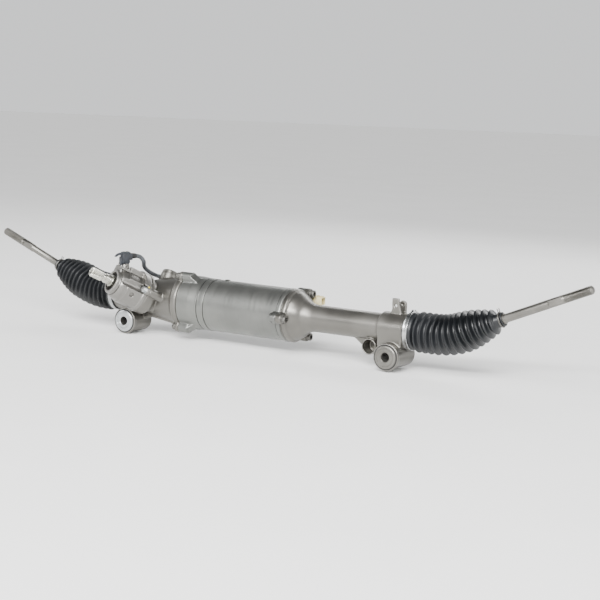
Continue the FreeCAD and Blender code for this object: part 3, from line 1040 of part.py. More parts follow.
def make_cable(route):
    """tube of straight runs joined by tangent arcs"""
    edges = []
    here = route[0]
    for number in range(1, len(route) - 1):
        corner = route[number]
        before = corner - route[number - 1]
        after = route[number + 1] - corner
        turn = before.getAngle(after)
        reach = 0.45 * min(before.Length, after.Length)
        radius = reach / math.tan(turn / 2)
        print(f"cable bend {number}: radius {radius:.1f}, turn {math.degrees(turn):.0f} degrees")
        entry = corner - Vector(before).normalize() * reach
        leave = corner + Vector(after).normalize() * reach
        inward = (Vector(after).normalize() - Vector(before).normalize()).normalize()
        middle = corner + inward * (radius / math.cos(turn / 2) - radius)
        edges.append(Part.LineSegment(here, entry).toShape())
        edges.append(Part.Arc(entry, middle, leave).toShape())
        here = leave
    edges.append(Part.LineSegment(here, route[-1]).toShape())
    path = Part.Wire(edges)
    section = Part.Wire(Part.makeCircle(size("cable_radius"), route[0], route[1] - route[0]))
    cable = doc.addObject("Part::Feature", "SensorCable")
    cable.Shape = path.makePipeShell([section], True, False)
    print(f"cable length {path.Length:.1f}, volume ratio {cable.Shape.Volume / (path.Length * math.pi * size('cable_radius') ** 2):.4f}")
    keep(cable, "sensor_cable")


make_pinion_housing()
make_sensor_housing()
make_motor_housing()
make_right_housing()
make_mount_bush("Left", left_mount, "left_bush_length")
make_mount_bush("Right", right_mount, "right_bush_length")
make_rack_bar()
make_pinion_shaft()
make_pinion_parts()
make_rack_guide()
make_motor_parts()
make_fasteners()
for side, way in (("left", -1), ("right", 1)):
    make_ball_joint(side, way)
    make_bellows(side, way)
make_connectors()
doc.recompute()

for thing in doc.Objects:
    if "Invalid" in thing.State or "Error" in thing.State:
        raise RuntimeError(f"{thing.Name} failed: {thing.State}")
for node in NODES:
    if node.Shape.isNull() or not node.Shape.isValid():
        raise RuntimeError(f"{node.Label} has no valid shape")
for node in NODES:
    node.Shape.exportStep(f"parts/{node.Label}.step")
    print(f"{node.Label}: {len(node.Shape.Solids)} solids, {node.Shape.Volume / 1000:.1f} cm3")
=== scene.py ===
import json
import math
import bpy
from mathutils import Matrix, Vector

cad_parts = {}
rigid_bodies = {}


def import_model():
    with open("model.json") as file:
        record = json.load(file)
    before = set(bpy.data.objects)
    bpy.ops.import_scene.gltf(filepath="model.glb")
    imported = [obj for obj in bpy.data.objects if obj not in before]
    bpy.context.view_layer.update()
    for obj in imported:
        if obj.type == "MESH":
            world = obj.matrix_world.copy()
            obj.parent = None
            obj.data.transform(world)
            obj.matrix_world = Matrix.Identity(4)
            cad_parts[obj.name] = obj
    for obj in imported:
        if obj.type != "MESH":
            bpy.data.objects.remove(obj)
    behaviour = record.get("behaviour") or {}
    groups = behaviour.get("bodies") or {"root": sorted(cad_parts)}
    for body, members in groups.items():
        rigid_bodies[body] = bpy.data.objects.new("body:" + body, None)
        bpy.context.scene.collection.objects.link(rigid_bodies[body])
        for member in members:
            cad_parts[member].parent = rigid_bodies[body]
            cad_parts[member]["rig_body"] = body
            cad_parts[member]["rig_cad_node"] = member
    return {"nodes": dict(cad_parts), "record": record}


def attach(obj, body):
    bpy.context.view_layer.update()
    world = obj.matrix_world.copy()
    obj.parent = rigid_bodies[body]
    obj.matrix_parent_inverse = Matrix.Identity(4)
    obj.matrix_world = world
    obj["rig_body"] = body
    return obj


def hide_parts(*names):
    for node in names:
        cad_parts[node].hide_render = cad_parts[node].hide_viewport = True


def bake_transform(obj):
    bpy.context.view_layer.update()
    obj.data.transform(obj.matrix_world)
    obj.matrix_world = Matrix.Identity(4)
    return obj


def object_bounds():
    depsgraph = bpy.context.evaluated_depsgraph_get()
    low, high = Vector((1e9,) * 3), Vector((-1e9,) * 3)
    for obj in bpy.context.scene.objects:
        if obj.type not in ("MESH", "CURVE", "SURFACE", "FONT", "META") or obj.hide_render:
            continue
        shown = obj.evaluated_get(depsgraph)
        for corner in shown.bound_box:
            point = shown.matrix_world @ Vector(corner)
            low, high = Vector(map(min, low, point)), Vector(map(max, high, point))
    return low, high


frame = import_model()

mm = 0.001
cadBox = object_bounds()
nodes = frame["nodes"]
print("frame loaded:", len(nodes), "nodes")


# camera, in millimetres and degrees, as the photograph was taken
cameraValues = {
    "place": (1657.2, -2186.1, 429.3),
    "azimuth": 31.0,
    "elevation": 8.0,
    "roll": -2.4,
    "lens": 90.0,
    "sensor": 36.0,
}


def makeCamera(values):
    a, e, r = (math.radians(values[key]) for key in ("azimuth", "elevation", "roll"))
    look = Vector((-math.sin(a) * math.cos(e), math.cos(a) * math.cos(e), -math.sin(e)))
    side = Vector((math.cos(a), math.sin(a), 0))
    up = side.cross(look)
    right = side * math.cos(r) - up * math.sin(r)
    top = side * math.sin(r) + up * math.cos(r)
    data = bpy.data.cameras.new("photoCamera")
    data.lens = values["lens"]
    data.sensor_width = values["sensor"]
    data.clip_end = 20
    camera = bpy.data.objects.new("photoCamera", data)
    bpy.context.scene.collection.objects.link(camera)
    turn = Matrix((right, top, -look)).transposed().to_4x4()
    camera.matrix_world = Matrix.Translation(Vector(values["place"]) * mm) @ turn
    bpy.context.scene.camera = camera


makeCamera(cameraValues)
print("camera placed")


# colour values are sRGB, as picked
def linear(hexValue):
    parts = [int(hexValue[i:i + 2], 16) / 255 for i in (1, 3, 5)]
    return [c / 12.92 if c <= 0.04045 else ((c + 0.055) / 1.055) ** 2.4 for c in parts] + [1.0]


def addNode(tree, kind, settings, links=None):
    made = tree.nodes.new(kind)
    for key, value in settings.items():
        if isinstance(key, int) or key in made.inputs:
            made.inputs[key].default_value = value
        else:
            setattr(made, key, value)
    for socket, source in (links or {}).items():
        tree.links.new(source, made.inputs[socket])
    return made


def startMaterial(name):
    material = bpy.data.materials.new(name)
    material.use_nodes = True
    tree = material.node_tree
    tree.nodes.clear()
    shader = addNode(tree, "ShaderNodeBsdfPrincipled", {})
    addNode(tree, "ShaderNodeOutputMaterial", {}, {"Surface": shader.outputs[0]})
    place = addNode(tree, "ShaderNodeTexCoord", {}).outputs["Object"]
    return material, tree, shader, place


def grain(tree, place, size, detail=3.0, stretch=None):
    # noise whose lumps are about that many millimetres across
    if stretch:
        place = addNode(tree, "ShaderNodeMapping", {"Scale": stretch}, {"Vector": place}).outputs[0]
    return addNode(tree, "ShaderNodeTexNoise", {"Scale": 1 / (size * mm), "Detail": detail},
                   {"Vector": place}).outputs["Fac"]


def spread(tree, source, low, high, fromLow=0.35, fromHigh=0.65):
    settings = {"From Min": fromLow, "From Max": fromHigh, "To Min": low, "To Max": high}
    return addNode(tree, "ShaderNodeMapRange", settings, {"Value": source}).outputs[0]


def tint(tree, factor, dark, light):
    return addNode(tree, "ShaderNodeMixRGB", {"Color1": linear(dark), "Color2": linear(light)},
                   {"Fac": factor}).outputs[0]


def relief(tree, shader, source, height, strength=0.6):
    settings = {"Strength": strength, "Distance": height * mm}
    bump = addNode(tree, "ShaderNodeBump", settings, {"Height": source})
    tree.links.new(bump.outputs[0], shader.inputs["Normal"])


# how sharp an edge is where it turns bright, and how far the clouds change the colour
wear = {"edgeFrom": 0.44, "edgeTo": 0.58, "edgeShare": 0.5, "cloudLow": 0.35, "cloudHigh": 0.5}
castSkin = {"metallic": 0.85, "height": 0.12, "strength": 0.5, "smoother": 0.05, "rougher": 0.08}


def castMetal(name, dark, light, roughness, skin, patch):
    # skin and patch are the sizes of the grain and of the clouds, in millimetres
    material, tree, shader, place = startMaterial(name)
    cloud = grain(tree, place, patch, 4)
    fine = grain(tree, place, skin, 2)
    sharp = addNode(tree, "ShaderNodeNewGeometry", {}).outputs["Pointiness"]
    edge = spread(tree, sharp, 0, 1, wear["edgeFrom"], wear["edgeTo"])
    faint = spread(tree, cloud, wear["cloudLow"], wear["cloudHigh"])
    mixed = addNode(tree, "ShaderNodeMath", {"operation": "MULTIPLY_ADD", 1: wear["edgeShare"]},
                    {0: edge, 2: faint}).outputs[0]
    bright = spread(tree, mixed, 0, 1, wear["cloudLow"], 1)
    matt = spread(tree, cloud, roughness - castSkin["smoother"], roughness + castSkin["rougher"])
    tree.links.new(tint(tree, bright, dark, light), shader.inputs["Base Color"])
    tree.links.new(matt, shader.inputs["Roughness"])
    shader.inputs["Metallic"].default_value = castSkin["metallic"]
    relief(tree, shader, fine, castSkin["height"], castSkin["strength"])
    return material


# die-cast aluminium, shot blasted: a soft satin grey with a fine sandy skin and brighter edges
def pressureCastAluminium():
    return castMetal("pressureCastAluminium", "#5f5d58", "#84827d", roughness=0.34, skin=1.6, patch=60)


# die-cast aluminium, tumbled: lighter and a little smoother
def tumbledAluminium():
    return castMetal("tumbledAluminium", "#6b6965", "#989692", roughness=0.32, skin=1.4, patch=50)


# extruded and turned aluminium: faint rings round the barrel from the tool
def turnedAluminium():
    material, tree, shader, place = startMaterial("turnedAluminium")
    cloud = grain(tree, place, 60, 3)
    rings = grain(tree, place, 1.4, 2, (1, 0.02, 0.02))
    shade = tint(tree, spread(tree, cloud, 0, 1), "#747572", "#82837f")
    tree.links.new(shade, shader.inputs["Base Color"])
    tree.links.new(spread(tree, rings, 0.32, 0.46), shader.inputs["Roughness"])
    shader.inputs["Metallic"].default_value = 0.88
    relief(tree, shader, rings, 0.05, 0.35)
    return material


def plainSteel(name, dark, light, roughness, size, metallic=0.95):
    # size is that of the clouds in its sheen, in millimetres
    material, tree, shader, place = startMaterial(name)
    streak = grain(tree, place, size)
    shade = tint(tree, spread(tree, streak, 0, 1), dark, light)
    tree.links.new(shade, shader.inputs["Base Color"])
    tree.links.new(spread(tree, streak, roughness, roughness + 0.12), shader.inputs["Roughness"])
    shader.inputs["Metallic"].default_value = metallic
    relief(tree, shader, streak, 0.03, 0.3)
    return material


# bright zinc plate on steel: pale blue-white, slightly cloudy
def brightZinc():
    return plainSteel("brightZinc", "#b4b7b8", "#c6c9ca", roughness=0.27, size=22)


# bright zinc on a machined shaft: the turning marks show through
def machinedZinc():
    return plainSteel("machinedZinc", "#b7b6ac", "#cfcec5", roughness=0.2, size=14)


# ground carbon steel: even grey with a satin sheen
def drawnSteel():
    return plainSteel("drawnSteel", "#716f6a", "#817f7a", roughness=0.33, size=40)


# stainless strip, cold rolled: bright, with a soft cloud in its sheen
def stainlessStrip():
    return plainSteel("stainlessStrip", "#a6a8a8", "#cbcdcd", roughness=0.22, size=16, metallic=1.0)


# hardened bearing steel, polished
def bearingSteel():
    return plainSteel("bearingSteel", "#8c8e90", "#b6b8ba", roughness=0.16, size=5)


# dark phosphate coat on bolts: matt charcoal with a metal sheen
def phosphatedSteel():
    return plainSteel("phosphatedSteel", "#545351", "#7c7a75", roughness=0.38, size=2.2, metallic=0.8)


# a wave texture draws its bands this many times closer than its scale says
waveFactor = 6.3


def bandedMetal(name, dark, light, roughness, width, height, **settings):
    # dark and light bands, each that wide in millimetres
    material, tree, shader, place = startMaterial(name)
    settings["Scale"] = 1 / (width * mm) / waveFactor
    wave = addNode(tree, "ShaderNodeTexWave", settings, {"Vector": place}).outputs["Fac"]
    tree.links.new(tint(tree, wave, dark, light), shader.inputs["Base Color"])
    shader.inputs["Metallic"].default_value = 0.8
    shader.inputs["Roughness"].default_value = roughness
    relief(tree, shader, wave, height)
    return material


# lacquered copper wire, wound side by side
def lacqueredCopper():
    return bandedMetal("lacqueredCopper", "#7a3b1c", "#c77a45", roughness=0.3, width=1.6, height=0.3,
                       Distortion=1.5, Detail=1.0)


# stacked electrical steel sheets: a line for each sheet, drawn at 1.2 mm so that it shows
def laminatedSteel():
    return bandedMetal("laminatedSteel", "#3c3d40", "#6f7175", roughness=0.42, width=1.2, height=0.1,
                       bands_direction="X")


def rubberOf(name, dark, light, roughness, skin, patch):
    # skin and patch are the sizes of the grain and of the clouds, in millimetres
    material, tree, shader, place = startMaterial(name)
    cloud = grain(tree, place, patch, 4)
    fine = grain(tree, place, skin, 2)
    shade = tint(tree, spread(tree, cloud, 0, 1), dark, light)
    tree.links.new(shade, shader.inputs["Base Color"])
    tree.links.new(spread(tree, cloud, roughness, roughness + 0.14), shader.inputs["Roughness"])
    relief(tree, shader, fine, 0.08, 0.4)
    return material


# moulded thermoplastic rubber: black, with a soft gloss on the ridges
def mouldedBootRubber():
    return rubberOf("mouldedBootRubber", "#0c0e10", "#15171a", roughness=0.29, skin=0.9, patch=70)


# bonded natural rubber: matt black
def bondedRubber():
    return rubberOf("bondedRubber", "#151515", "#242322", roughness=0.6, skin=0.8, patch=12)


# polyamide with glass fibre, blue-grey, moulded: a faint mottle
def glassFilledNylon():
    return rubberOf("glassFilledNylon", "#1c1e23", "#2b2e35", roughness=0.46, skin=0.7, patch=6)


# polyamide, black, moulded
def darkNylon():
    return rubberOf("darkNylon", "#1d2024", "#2a2e33", roughness=0.4, skin=0.7, patch=8)


# PBT, natural colour: cream, half matt
def naturalPolyester():
    return rubberOf("naturalPolyester", "#cdbf8e", "#e6dbb0", roughness=0.4, skin=0.8, patch=9)


# acetal, white, moulded
def whiteAcetal():
    return rubberOf("whiteAcetal", "#cfcdc4", "#e6e4dc", roughness=0.35, skin=0.7, patch=8)


# cable sheath of cross-linked polyethylene: dark grey with a slight lengthwise sheen
def cableSheath():
    return rubberOf("cableSheath", "#3a3c3f", "#4d4f53", roughness=0.38, skin=0.8, patch=14)


# sintered magnet under an epoxy coat
def coatedMagnet():
    return rubberOf("coatedMagnet", "#33363c", "#4b4f57", roughness=0.3, skin=1.0, patch=10)


# oil paint mark, thick and glossy
def paintMark():
    return rubberOf("paintMark", "#b8a01f", "#d8c43a", roughness=0.35, skin=0.6, patch=2)


# painted board with a light tooth, for the floor
def paleFloor():
    material, tree, shader, place = startMaterial("paleFloor")
    cloud = grain(tree, place, 260, 3)
    tree.links.new(tint(tree, spread(tree, cloud, 0, 1), "#f8f8f7", "#fbfbfa"), shader.inputs["Base Color"])
    shader.inputs["Roughness"].default_value = 0.75
    return material


finishes = {}


def coat(piece, maker):
    # one material of each kind is made and shared
    if maker.__name__ not in finishes:
        finishes[maker.__name__] = maker()
    piece.data.materials.clear()
    piece.data.materials.append(finishes[maker.__name__])


nodeFinishes = {
    "casting": pressureCastAluminium,
    "sensor_casting": tumbledAluminium,
    "machined_steel": drawnSteel,
    "bearing_steel": bearingSteel,
    "zinc_plated": brightZinc,
    "stainless_band": stainlessStrip,
    "bellows_rubber": mouldedBootRubber,
    "bush_rubber": bondedRubber,
    "connector_plastic": glassFilledNylon,
    "natural_plastic": naturalPolyester,
    "seat_plastic": whiteAcetal,
    "cable_sheath": cableSheath,
    "copper_winding": lacqueredCopper,
    "lamination": laminatedSteel,
    "magnet": coatedMagnet,
}
slotOf = {entry["node"]: entry["material_slot"] for entry in frame["record"]["subparts"]}
print("materials defined")


# frames of the part: local X runs along an axis, local Z is up from it
def frameAt(origin, along, up):
    along = Vector(along).normalized()
    up = Vector(up)
    up = (up - along * up.dot(along)).normalized()
    turn = Matrix((along, up.cross(along), up)).transposed().to_4x4()
    return Matrix.Translation(Vector(origin) * mm) @ turn


# millimetres and degrees, in the part's own axes
layout = {
    "rackHeight": 43.0,
    "meshRoll": 28.5,
    "pinionSkew": 26.1,
    "pinionOffset": 13.0,
    "footX": 52.0,
    "rightMount": (537.0, 0.0, 1.4),
    "bushFront": 46.3,
    "shoulder": 1.6,
    "play": 0.3,
}
upward, backward, sideways = Vector((0, 0, 1)), Vector((0, 1, 0)), Vector((1, 0, 0))
roll = math.radians(layout["meshRoll"])
skew = math.radians(layout["pinionSkew"])
toPinion = Vector((0, -math.sin(roll), -math.cos(roll)))
acrossRack = Vector((0, -math.cos(roll), math.sin(roll)))
inputWay = acrossRack * math.cos(skew) - sideways * math.sin(skew)
sensorUp = (upward - inputWay * inputWay.z).normalized()
rackFoot = Vector((layout["footX"], 0, layout["rackHeight"]))
foot = rackFoot + toPinion * layout["pinionOffset"]
rackFrame = frameAt((0, 0, layout["rackHeight"]), sideways, upward)
towerFrame = frameAt(foot, inputWay, -toPinion)
sensorFrame = frameAt(foot, inputWay, sensorUp)
guideFrame = frameAt(rackFoot, -toPinion, inputWay)
leftMount = frameAt((0, 0, 0), backward, upward)
rightMount = frameAt(layout["rightMount"], backward, upward)
atOrigin = Matrix.Identity(4)
upToAlong = Matrix.Rotation(math.pi / 2, 4, "Y")
ends = {
    "left": {
        "way": -1, "ball": -96.0, "clamp": -45.0, "rise": 21.5,
        "rod": 249.0, "radius": 6.4, "boot": 156.0,
    },
    "right": {
        "way": 1, "ball": 633.3, "clamp": 562.0, "rise": 23.4,
        "rod": 255.0, "radius": 7.3, "boot": 168.0,
    },
}
weld = {"turned": 0.000004, "casting": 0.00001}


# small modelling helpers
def choose(piece):
    bpy.ops.object.select_all(action="DESELECT")
    piece.select_set(True)
    bpy.context.view_layer.objects.active = piece


def apply(piece, kind, **settings):
    choose(piece)
    modifier = piece.modifiers.new(kind.title(), kind)
    for key, value in settings.items():
        setattr(modifier, key, value)
    bpy.ops.object.modifier_apply(modifier=modifier.name)
    return piece


def softenEdges(piece, width, segments=2, angle=30):
    return apply(piece, "BEVEL", width=width * mm, segments=segments, limit_method="ANGLE",
                 angle_limit=math.radians(angle), harden_normals=False)


def smoothShade(piece, angle=35):
    choose(piece)
    bpy.ops.object.shade_smooth_by_angle(angle=math.radians(angle))
    return piece


def started(name, adder, **settings):
    # a primitive by itself, with nothing else selected
    bpy.ops.object.select_all(action="DESELECT")
    adder(**settings)
    piece = bpy.context.object
    piece.name = name
    return piece


def drawPath(name, points, depth=0):
    # one vertex is drawn through points of local X and Z; the piece stays in edit mode
    piece = started(name, bpy.ops.mesh.primitive_plane_add, size=0.001)
    bpy.ops.object.mode_set(mode="EDIT")
    bpy.ops.mesh.merge(type="CENTER")
    here = (0, 0)
    for number, point in enumerate(points):
        along, up = ((point[axis] - here[axis]) * mm for axis in (0, 1))
        if number == 0:
            bpy.ops.transform.translate(value=(along, depth * mm, up))
        else:
            bpy.ops.mesh.extrude_vertices_move(TRANSFORM_OT_translate={"value": (along, 0, up)})
        here = point
    bpy.ops.mesh.select_all(action="SELECT")
    return piece


def closeDrawing(piece, place, edge=0):
    bpy.ops.mesh.normals_make_consistent(inside=False)
    bpy.ops.object.mode_set(mode="OBJECT")
    if edge:
        softenEdges(piece, edge)
    piece.data.transform(place)
    return piece


def lathe(name, place, profile, steps=64):
    # a profile of (distance, radius) spun round local X
    piece = drawPath(name, profile)
    bpy.ops.mesh.spin(steps=steps, angle=math.tau, center=(0, 0, 0), axis=(1, 0, 0))
    bpy.ops.mesh.select_all(action="SELECT")
    bpy.ops.mesh.remove_doubles(threshold=weld["turned"])
    return closeDrawing(piece, place)


def ringOf(name, place, profile, steps=64):
    # a profile that closes on its own first point, for anything with a hole through it
    return lathe(name, place, list(profile) + [profile[0]], steps)


def slab(name, place, low, high, edge=0.6):
    # a block between two corners, with its edges rounded
    size = [(high[i] - low[i]) * mm for i in range(3)]
    middle = [(high[i] + low[i]) / 2 * mm for i in range(3)]
    piece = started(name, bpy.ops.mesh.primitive_cube_add, size=1)
    piece.data.transform(Matrix.Translation(middle) @ Matrix.Diagonal(size).to_4x4())
    if edge:
        softenEdges(piece, edge)
    piece.data.transform(place)
    return piece


def plateFrom(name, place, outline, low, high, edge=0.5):
    # an outline in local X and Z, as thick as from low to high in Y
    piece = drawPath(name, outline, low)
    bpy.ops.mesh.edge_face_add()
    bpy.ops.mesh.extrude_region_move(TRANSFORM_OT_translate={"value": (0, (high - low) * mm, 0)})
    bpy.ops.mesh.select_all(action="SELECT")
    return closeDrawing(piece, place, edge)


def joined(name, pieces):
    bpy.ops.object.select_all(action="DESELECT")
    for piece in pieces:
        piece.select_set(True)
    bpy.context.view_layer.objects.active = pieces[0]
    bpy.ops.object.join()
    pieces[0].name = name
    return pieces[0]


def cutWith(piece, tools, solver="EXACT"):
    for tool in tools:
        apply(piece, "BOOLEAN", operation="DIFFERENCE", solver=solver, object=tool)
        bpy.data.objects.remove(tool, do_unlink=True)
    return piece


def hexagon(name, place, acrossFlats, low, high):
    # six-sided bar along local X
    piece = started(name, bpy.ops.mesh.primitive_cylinder_add, vertices=6,
                    radius=acrossFlats / math.sqrt(3) * mm, depth=(high - low) * mm)
    piece.data.transform(place @ Matrix.Translation(((high + low) / 2 * mm, 0, 0)) @ upToAlong)
    return piece


def copyAt(piece, places):
    # the piece is modelled once and set at each of the places
    copies = []
    for place in places:
        twin = piece.copy()
        twin.data = piece.data.copy()
        twin.data.transform(place)
        bpy.context.scene.collection.objects.link(twin)
        copies.append(twin)
    name = piece.name
    bpy.data.objects.remove(piece, do_unlink=True)
    return joined(name, copies)


def settle(piece, body, maker, replaced=(), angle=35):
    smoothShade(piece, angle)
    coat(piece, maker)
    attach(piece, body)
    if replaced:
        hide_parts(*replaced)
    return piece


def dress(piece, node, maker, angle=35):
    # the piece takes the place of one solid, on the solid's own body
    return settle(piece, nodes[node]["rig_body"], maker, [node], angle)


def lugFrame(angle, radius=33.6):
    # on the bolt circle of the sensor joint
    turn = math.radians(angle)
    across, up = towerFrame.to_3x3() @ Vector((0, 1, 0)), towerFrame.to_3x3() @ Vector((0, 0, 1))
    outward = across * math.cos(turn) + up * math.sin(turn)
    return frameAt(foot + outward * radius, inputWay, outward)


def earFrame(angle, x, way=1, radius=52.0):
    # on the bolt circle of a motor flange, the angle from up towards the back
    turn = math.radians(angle)
    outward = Vector((0, math.sin(turn), math.cos(turn)))
    return frameAt(Vector((x, 0, layout["rackHeight"])) + outward * radius, (way, 0, 0), outward)


# castings: voxel size in millimetres, rounds of smoothing, share of the faces that stays,
# and the seam, which is where the two halves of one casting meet
moulds = {
    "pinionCasting": {"voxel": 1.3, "rounds": 3, "keep": 0.6, "seam": 90},
    "sensorCasting": {"voxel": 0.9, "rounds": 2, "keep": 0.6, "seam": None},
    "motorCasting": {"voxel": 1.3, "rounds": 2, "keep": 0.6, "seam": None},
    "rightCasting": {"voxel": 1.3, "rounds": 3, "keep": 0.6, "seam": 386},
    "socketCasting": {"voxel": 0.5, "rounds": 2, "keep": 0.8, "seam": None},
}
# machined lines and steps: distance along the axis, width, radius at the bottom, outer radius
grooves = {
    "sensorCasting": ((86.5, 1.6, 29.4, 60), (99.8, 1.2, 22.6, 60), (60.5, 1.2, 39.3, 60)),
    "motorCasting": ((158.6, 1.5, 44.6, 60), (172.6, 1.5, 44.6, 60), (323.5, 1.1, 45.2, 60)),
    "rightCasting": ((334.6, 0.9, 45.1, 47.5),),
}
# fairings from the left bolt bosses down to the barrel
web = {"start": 132, "stop": 150, "high": 59.5, "low": 44, "base": 40, "half": 8}
guideCap = [(40, 0), (40, 16), (50, 15.8), (51.5, 14.8), (52, 13), (52, 0)]
lugDisc = {"place": (537.5, 9.8, 84), "radius": 3.4, "thickness": 4.4}
leftEars, rightEars, coverLugs = (95, 215, 335), (48, 140, 270), (4, 184)


def grooveTool(place, x, width, inner, outer):
    near, far = x - width / 2, x + width / 2
    return ringOf("groove", place, [(near, inner), (near, outer), (far, outer), (far, inner)], 96)


def castForm(name, sources, maker, place=rackFrame, extra=()):
    # the solids' own form, with the mould's round corners; place is the axis of its grooves
    mould = moulds[name]
    cuts = [grooveTool(place, *groove) for groove in grooves.get(name, ())]
    copies = list(extra)
    for node in sources:
        part = nodes[node].copy()
        part.data = nodes[node].data.copy()
        part.parent = None
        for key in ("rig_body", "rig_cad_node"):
            del part[key]
        bpy.context.scene.collection.objects.link(part)
        copies.append(part)
    piece = joined(name, copies)
    choose(piece)
    bpy.ops.object.mode_set(mode="EDIT")
    bpy.ops.mesh.select_mode(type="FACE")
    bpy.ops.mesh.select_all(action="DESELECT")
    if mould["seam"] is not None:
        bpy.ops.object.mode_set(mode="OBJECT")
        points = piece.data.vertices
        for face in piece.data.polygons:
            gaps = [abs(points[v].co.x - mould["seam"] * mm) for v in face.vertices]
            face.select = max(gaps) < weld["casting"]
        bpy.ops.object.mode_set(mode="EDIT")
        bpy.ops.mesh.delete(type="FACE")
    bpy.ops.mesh.select_mode(type="VERT")
    bpy.ops.mesh.select_all(action="SELECT")
    bpy.ops.mesh.remove_doubles(threshold=weld["casting"])
    bpy.ops.object.mode_set(mode="OBJECT")
    apply(piece, "REMESH", mode="VOXEL", voxel_size=mould["voxel"] * mm)
    apply(piece, "SMOOTH", factor=0.6, iterations=mould["rounds"])
    apply(piece, "DECIMATE", ratio=mould["keep"])
    cutWith(piece, cuts, "MANIFOLD")
    print("cast", name, len(piece.data.polygons), "faces")
    return settle(piece, "housing", maker, sources, 60)


def taperWeb(angle):
    outline = [(web["start"], web["base"]), (web["start"], web["high"]),
               (web["stop"], web["low"]), (web["stop"], web["base"])]
    return plateFrom("web", earFrame(angle, 0, 1, 0), outline, -web["half"], web["half"], 0)


def makeCastings():
    castForm("pinionCasting", ("pinion_housing", "left_motor_flange", "guide_plug"),
             pressureCastAluminium, extra=[lathe("guideCap", guideFrame, guideCap)])
    castForm("sensorCasting", ("sensor_housing",), tumbledAluminium, towerFrame)
    castForm("motorCasting", ("motor_housing",), turnedAluminium,
             extra=[taperWeb(angle) for angle in leftEars])
    # the back bracket lug has no hole on the photograph, so a disc closes it
    radius, thickness = lugDisc["radius"], lugDisc["thickness"]
    disc = lathe("lugDisc", frameAt(lugDisc["place"], backward, upward),
                 [(0, 0), (0, radius), (thickness, radius), (thickness, 0)], 24)
    castForm("rightCasting", ("right_motor_flange", "right_housing"), pressureCastAluminium,
             extra=[disc])
    castForm("socketCasting", ("sensor_socket",), tumbledAluminium)


makeCastings()
print("castings made")


# bellows: turned straight, then laid along the line that bends up towards the ball.
# follow gives three distances beyond the ball, for the back seat, the front seat and the rod; the bellows are
# cut into three pieces at the first two
bellows = {
    "wall": 1.6, "peak": 34.0, "root": 26.0, "tip": 21.0, "cuff": 31.0, "ridges": 13, "steps": 72,
    "bend": 26.0, "lip": 3.0, "seat": 12.0, "run": 2.5, "neckLength": 12, "taperRidges": 5, "taperPower": 1.6,
    "crossing": 8, "follow": (22, 47, 77), "before": -20, "after": 400,
}
# one ridge: share of the pitch, share of the height
ridgeShape = ((0.14, 0.08), (0.3, 0.55), (0.42, 0.92), (0.5, 1.0), (0.58, 0.92), (0.7, 0.55),
              (0.86, 0.08), (1.0, 0.0))


def neckRadius(end):
    # the small end lies round the rod's shoulder
    return end["radius"] + layout["shoulder"] + bellows["wall"] + layout["play"]


def taper(number, late=0):
    # share of the way down to the small end, over the last ridges
    ridges = bellows["taperRidges"] + late
    return max(0.0, (number - bellows["ridges"] + 1 + ridges) / ridges) ** bellows["taperPower"]


def bellowsProfile(end):
    half, cuff, boot, neck = bellows["seat"] / 2, bellows["cuff"], end["boot"], neckRadius(end)
    start = half + bellows["lip"] + bellows["run"]
    pitch = (boot - bellows["neckLength"] - start) / bellows["ridges"]
    rows = [(1 - half, cuff - 0.6), (1.6 - half, cuff), (start - 3, cuff), (start - 1.6, cuff - 0.7),
            (start, bellows["root"])]
    for number in range(bellows["ridges"]):
        crest = bellows["peak"] - taper(number) * (bellows["peak"] - bellows["tip"])
        valley = bellows["root"] - taper(number, 0.5) * (bellows["root"] - neck - 1)
        before = rows[-1][1]
        begin = start + number * pitch
        for part, reach in ridgeShape:
            base = before if part < 0.5 else valley
            rows.append((begin + part * pitch, base + (crest - base) * reach))
    return rows + [(boot - 8, neck + 0.8), (boot - 6.5, neck), (boot - 2.6, neck), (boot - 1.8, neck + 0.9),
                   (boot - 0.4, neck + 0.9), (boot, neck + 0.4)]


def bellowsPoint(end, distance):
    # place and heading on the bent middle line, in millimetres
    way = sideways * end["way"]
    rise = math.radians(end["rise"])
    radius = bellows["bend"] / math.tan(rise / 2)
    straight = abs(end["ball"] - end["clamp"]) - bellows["bend"]
    root = Vector((end["clamp"], 0, layout["rackHeight"]))
    if distance <= straight:
        return root + way * distance, way
    turn = min((distance - straight) / radius, rise)
    heading = way * math.cos(turn) + upward * math.sin(turn)
    spot = root + way * (straight + radius * math.sin(turn)) + upward * (radius - radius * math.cos(turn))
    return spot + heading * max(distance - straight - radius * rise, 0), heading


def makeBellows(side):
    end = ends[side]
    outside = bellowsProfile(end)
    inside = [(x, r - bellows["wall"]) for x, r in reversed(outside)]
    reach = abs(end["ball"] - end["clamp"])
    back, front, rod = (reach + step for step in bellows["follow"])
    bounds = (bellows["before"], back, front, bellows["after"])
    blank = ringOf(side + "BellowsBlank", atOrigin, outside + inside, bellows["steps"])
    for number, name in enumerate(("Root", "Middle", "Tip")):
        piece = blank.copy()
        piece.data = blank.data.copy()
        piece.name = side + "Bellows" + name
        bpy.context.scene.collection.objects.link(piece)
        choose(piece)
        for level, clearing in ((bounds[number], "inner"), (bounds[number + 1], "outer")):
            bpy.ops.object.mode_set(mode="EDIT")
            bpy.ops.mesh.select_all(action="SELECT")
            bpy.ops.mesh.bisect(plane_co=(level * mm, 0, 0), plane_no=(1, 0, 0),
                                clear_inner=clearing == "inner", clear_outer=clearing == "outer")
            bpy.ops.object.mode_set(mode="OBJECT")
        for vertex in piece.data.vertices:
            spot, heading = bellowsPoint(end, vertex.co.x / mm)
            across = backward * end["way"]
            vertex.co = spot * mm + across * vertex.co.y + heading.cross(across) * vertex.co.z
        smoothShade(piece, 60)
        coat(piece, mouldedBootRubber)
        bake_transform(piece)
        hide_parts(side + "_boot")
    bpy.data.objects.remove(blank, do_unlink=True)


for side in ends:
    makeBellows(side)
print("bellows made")


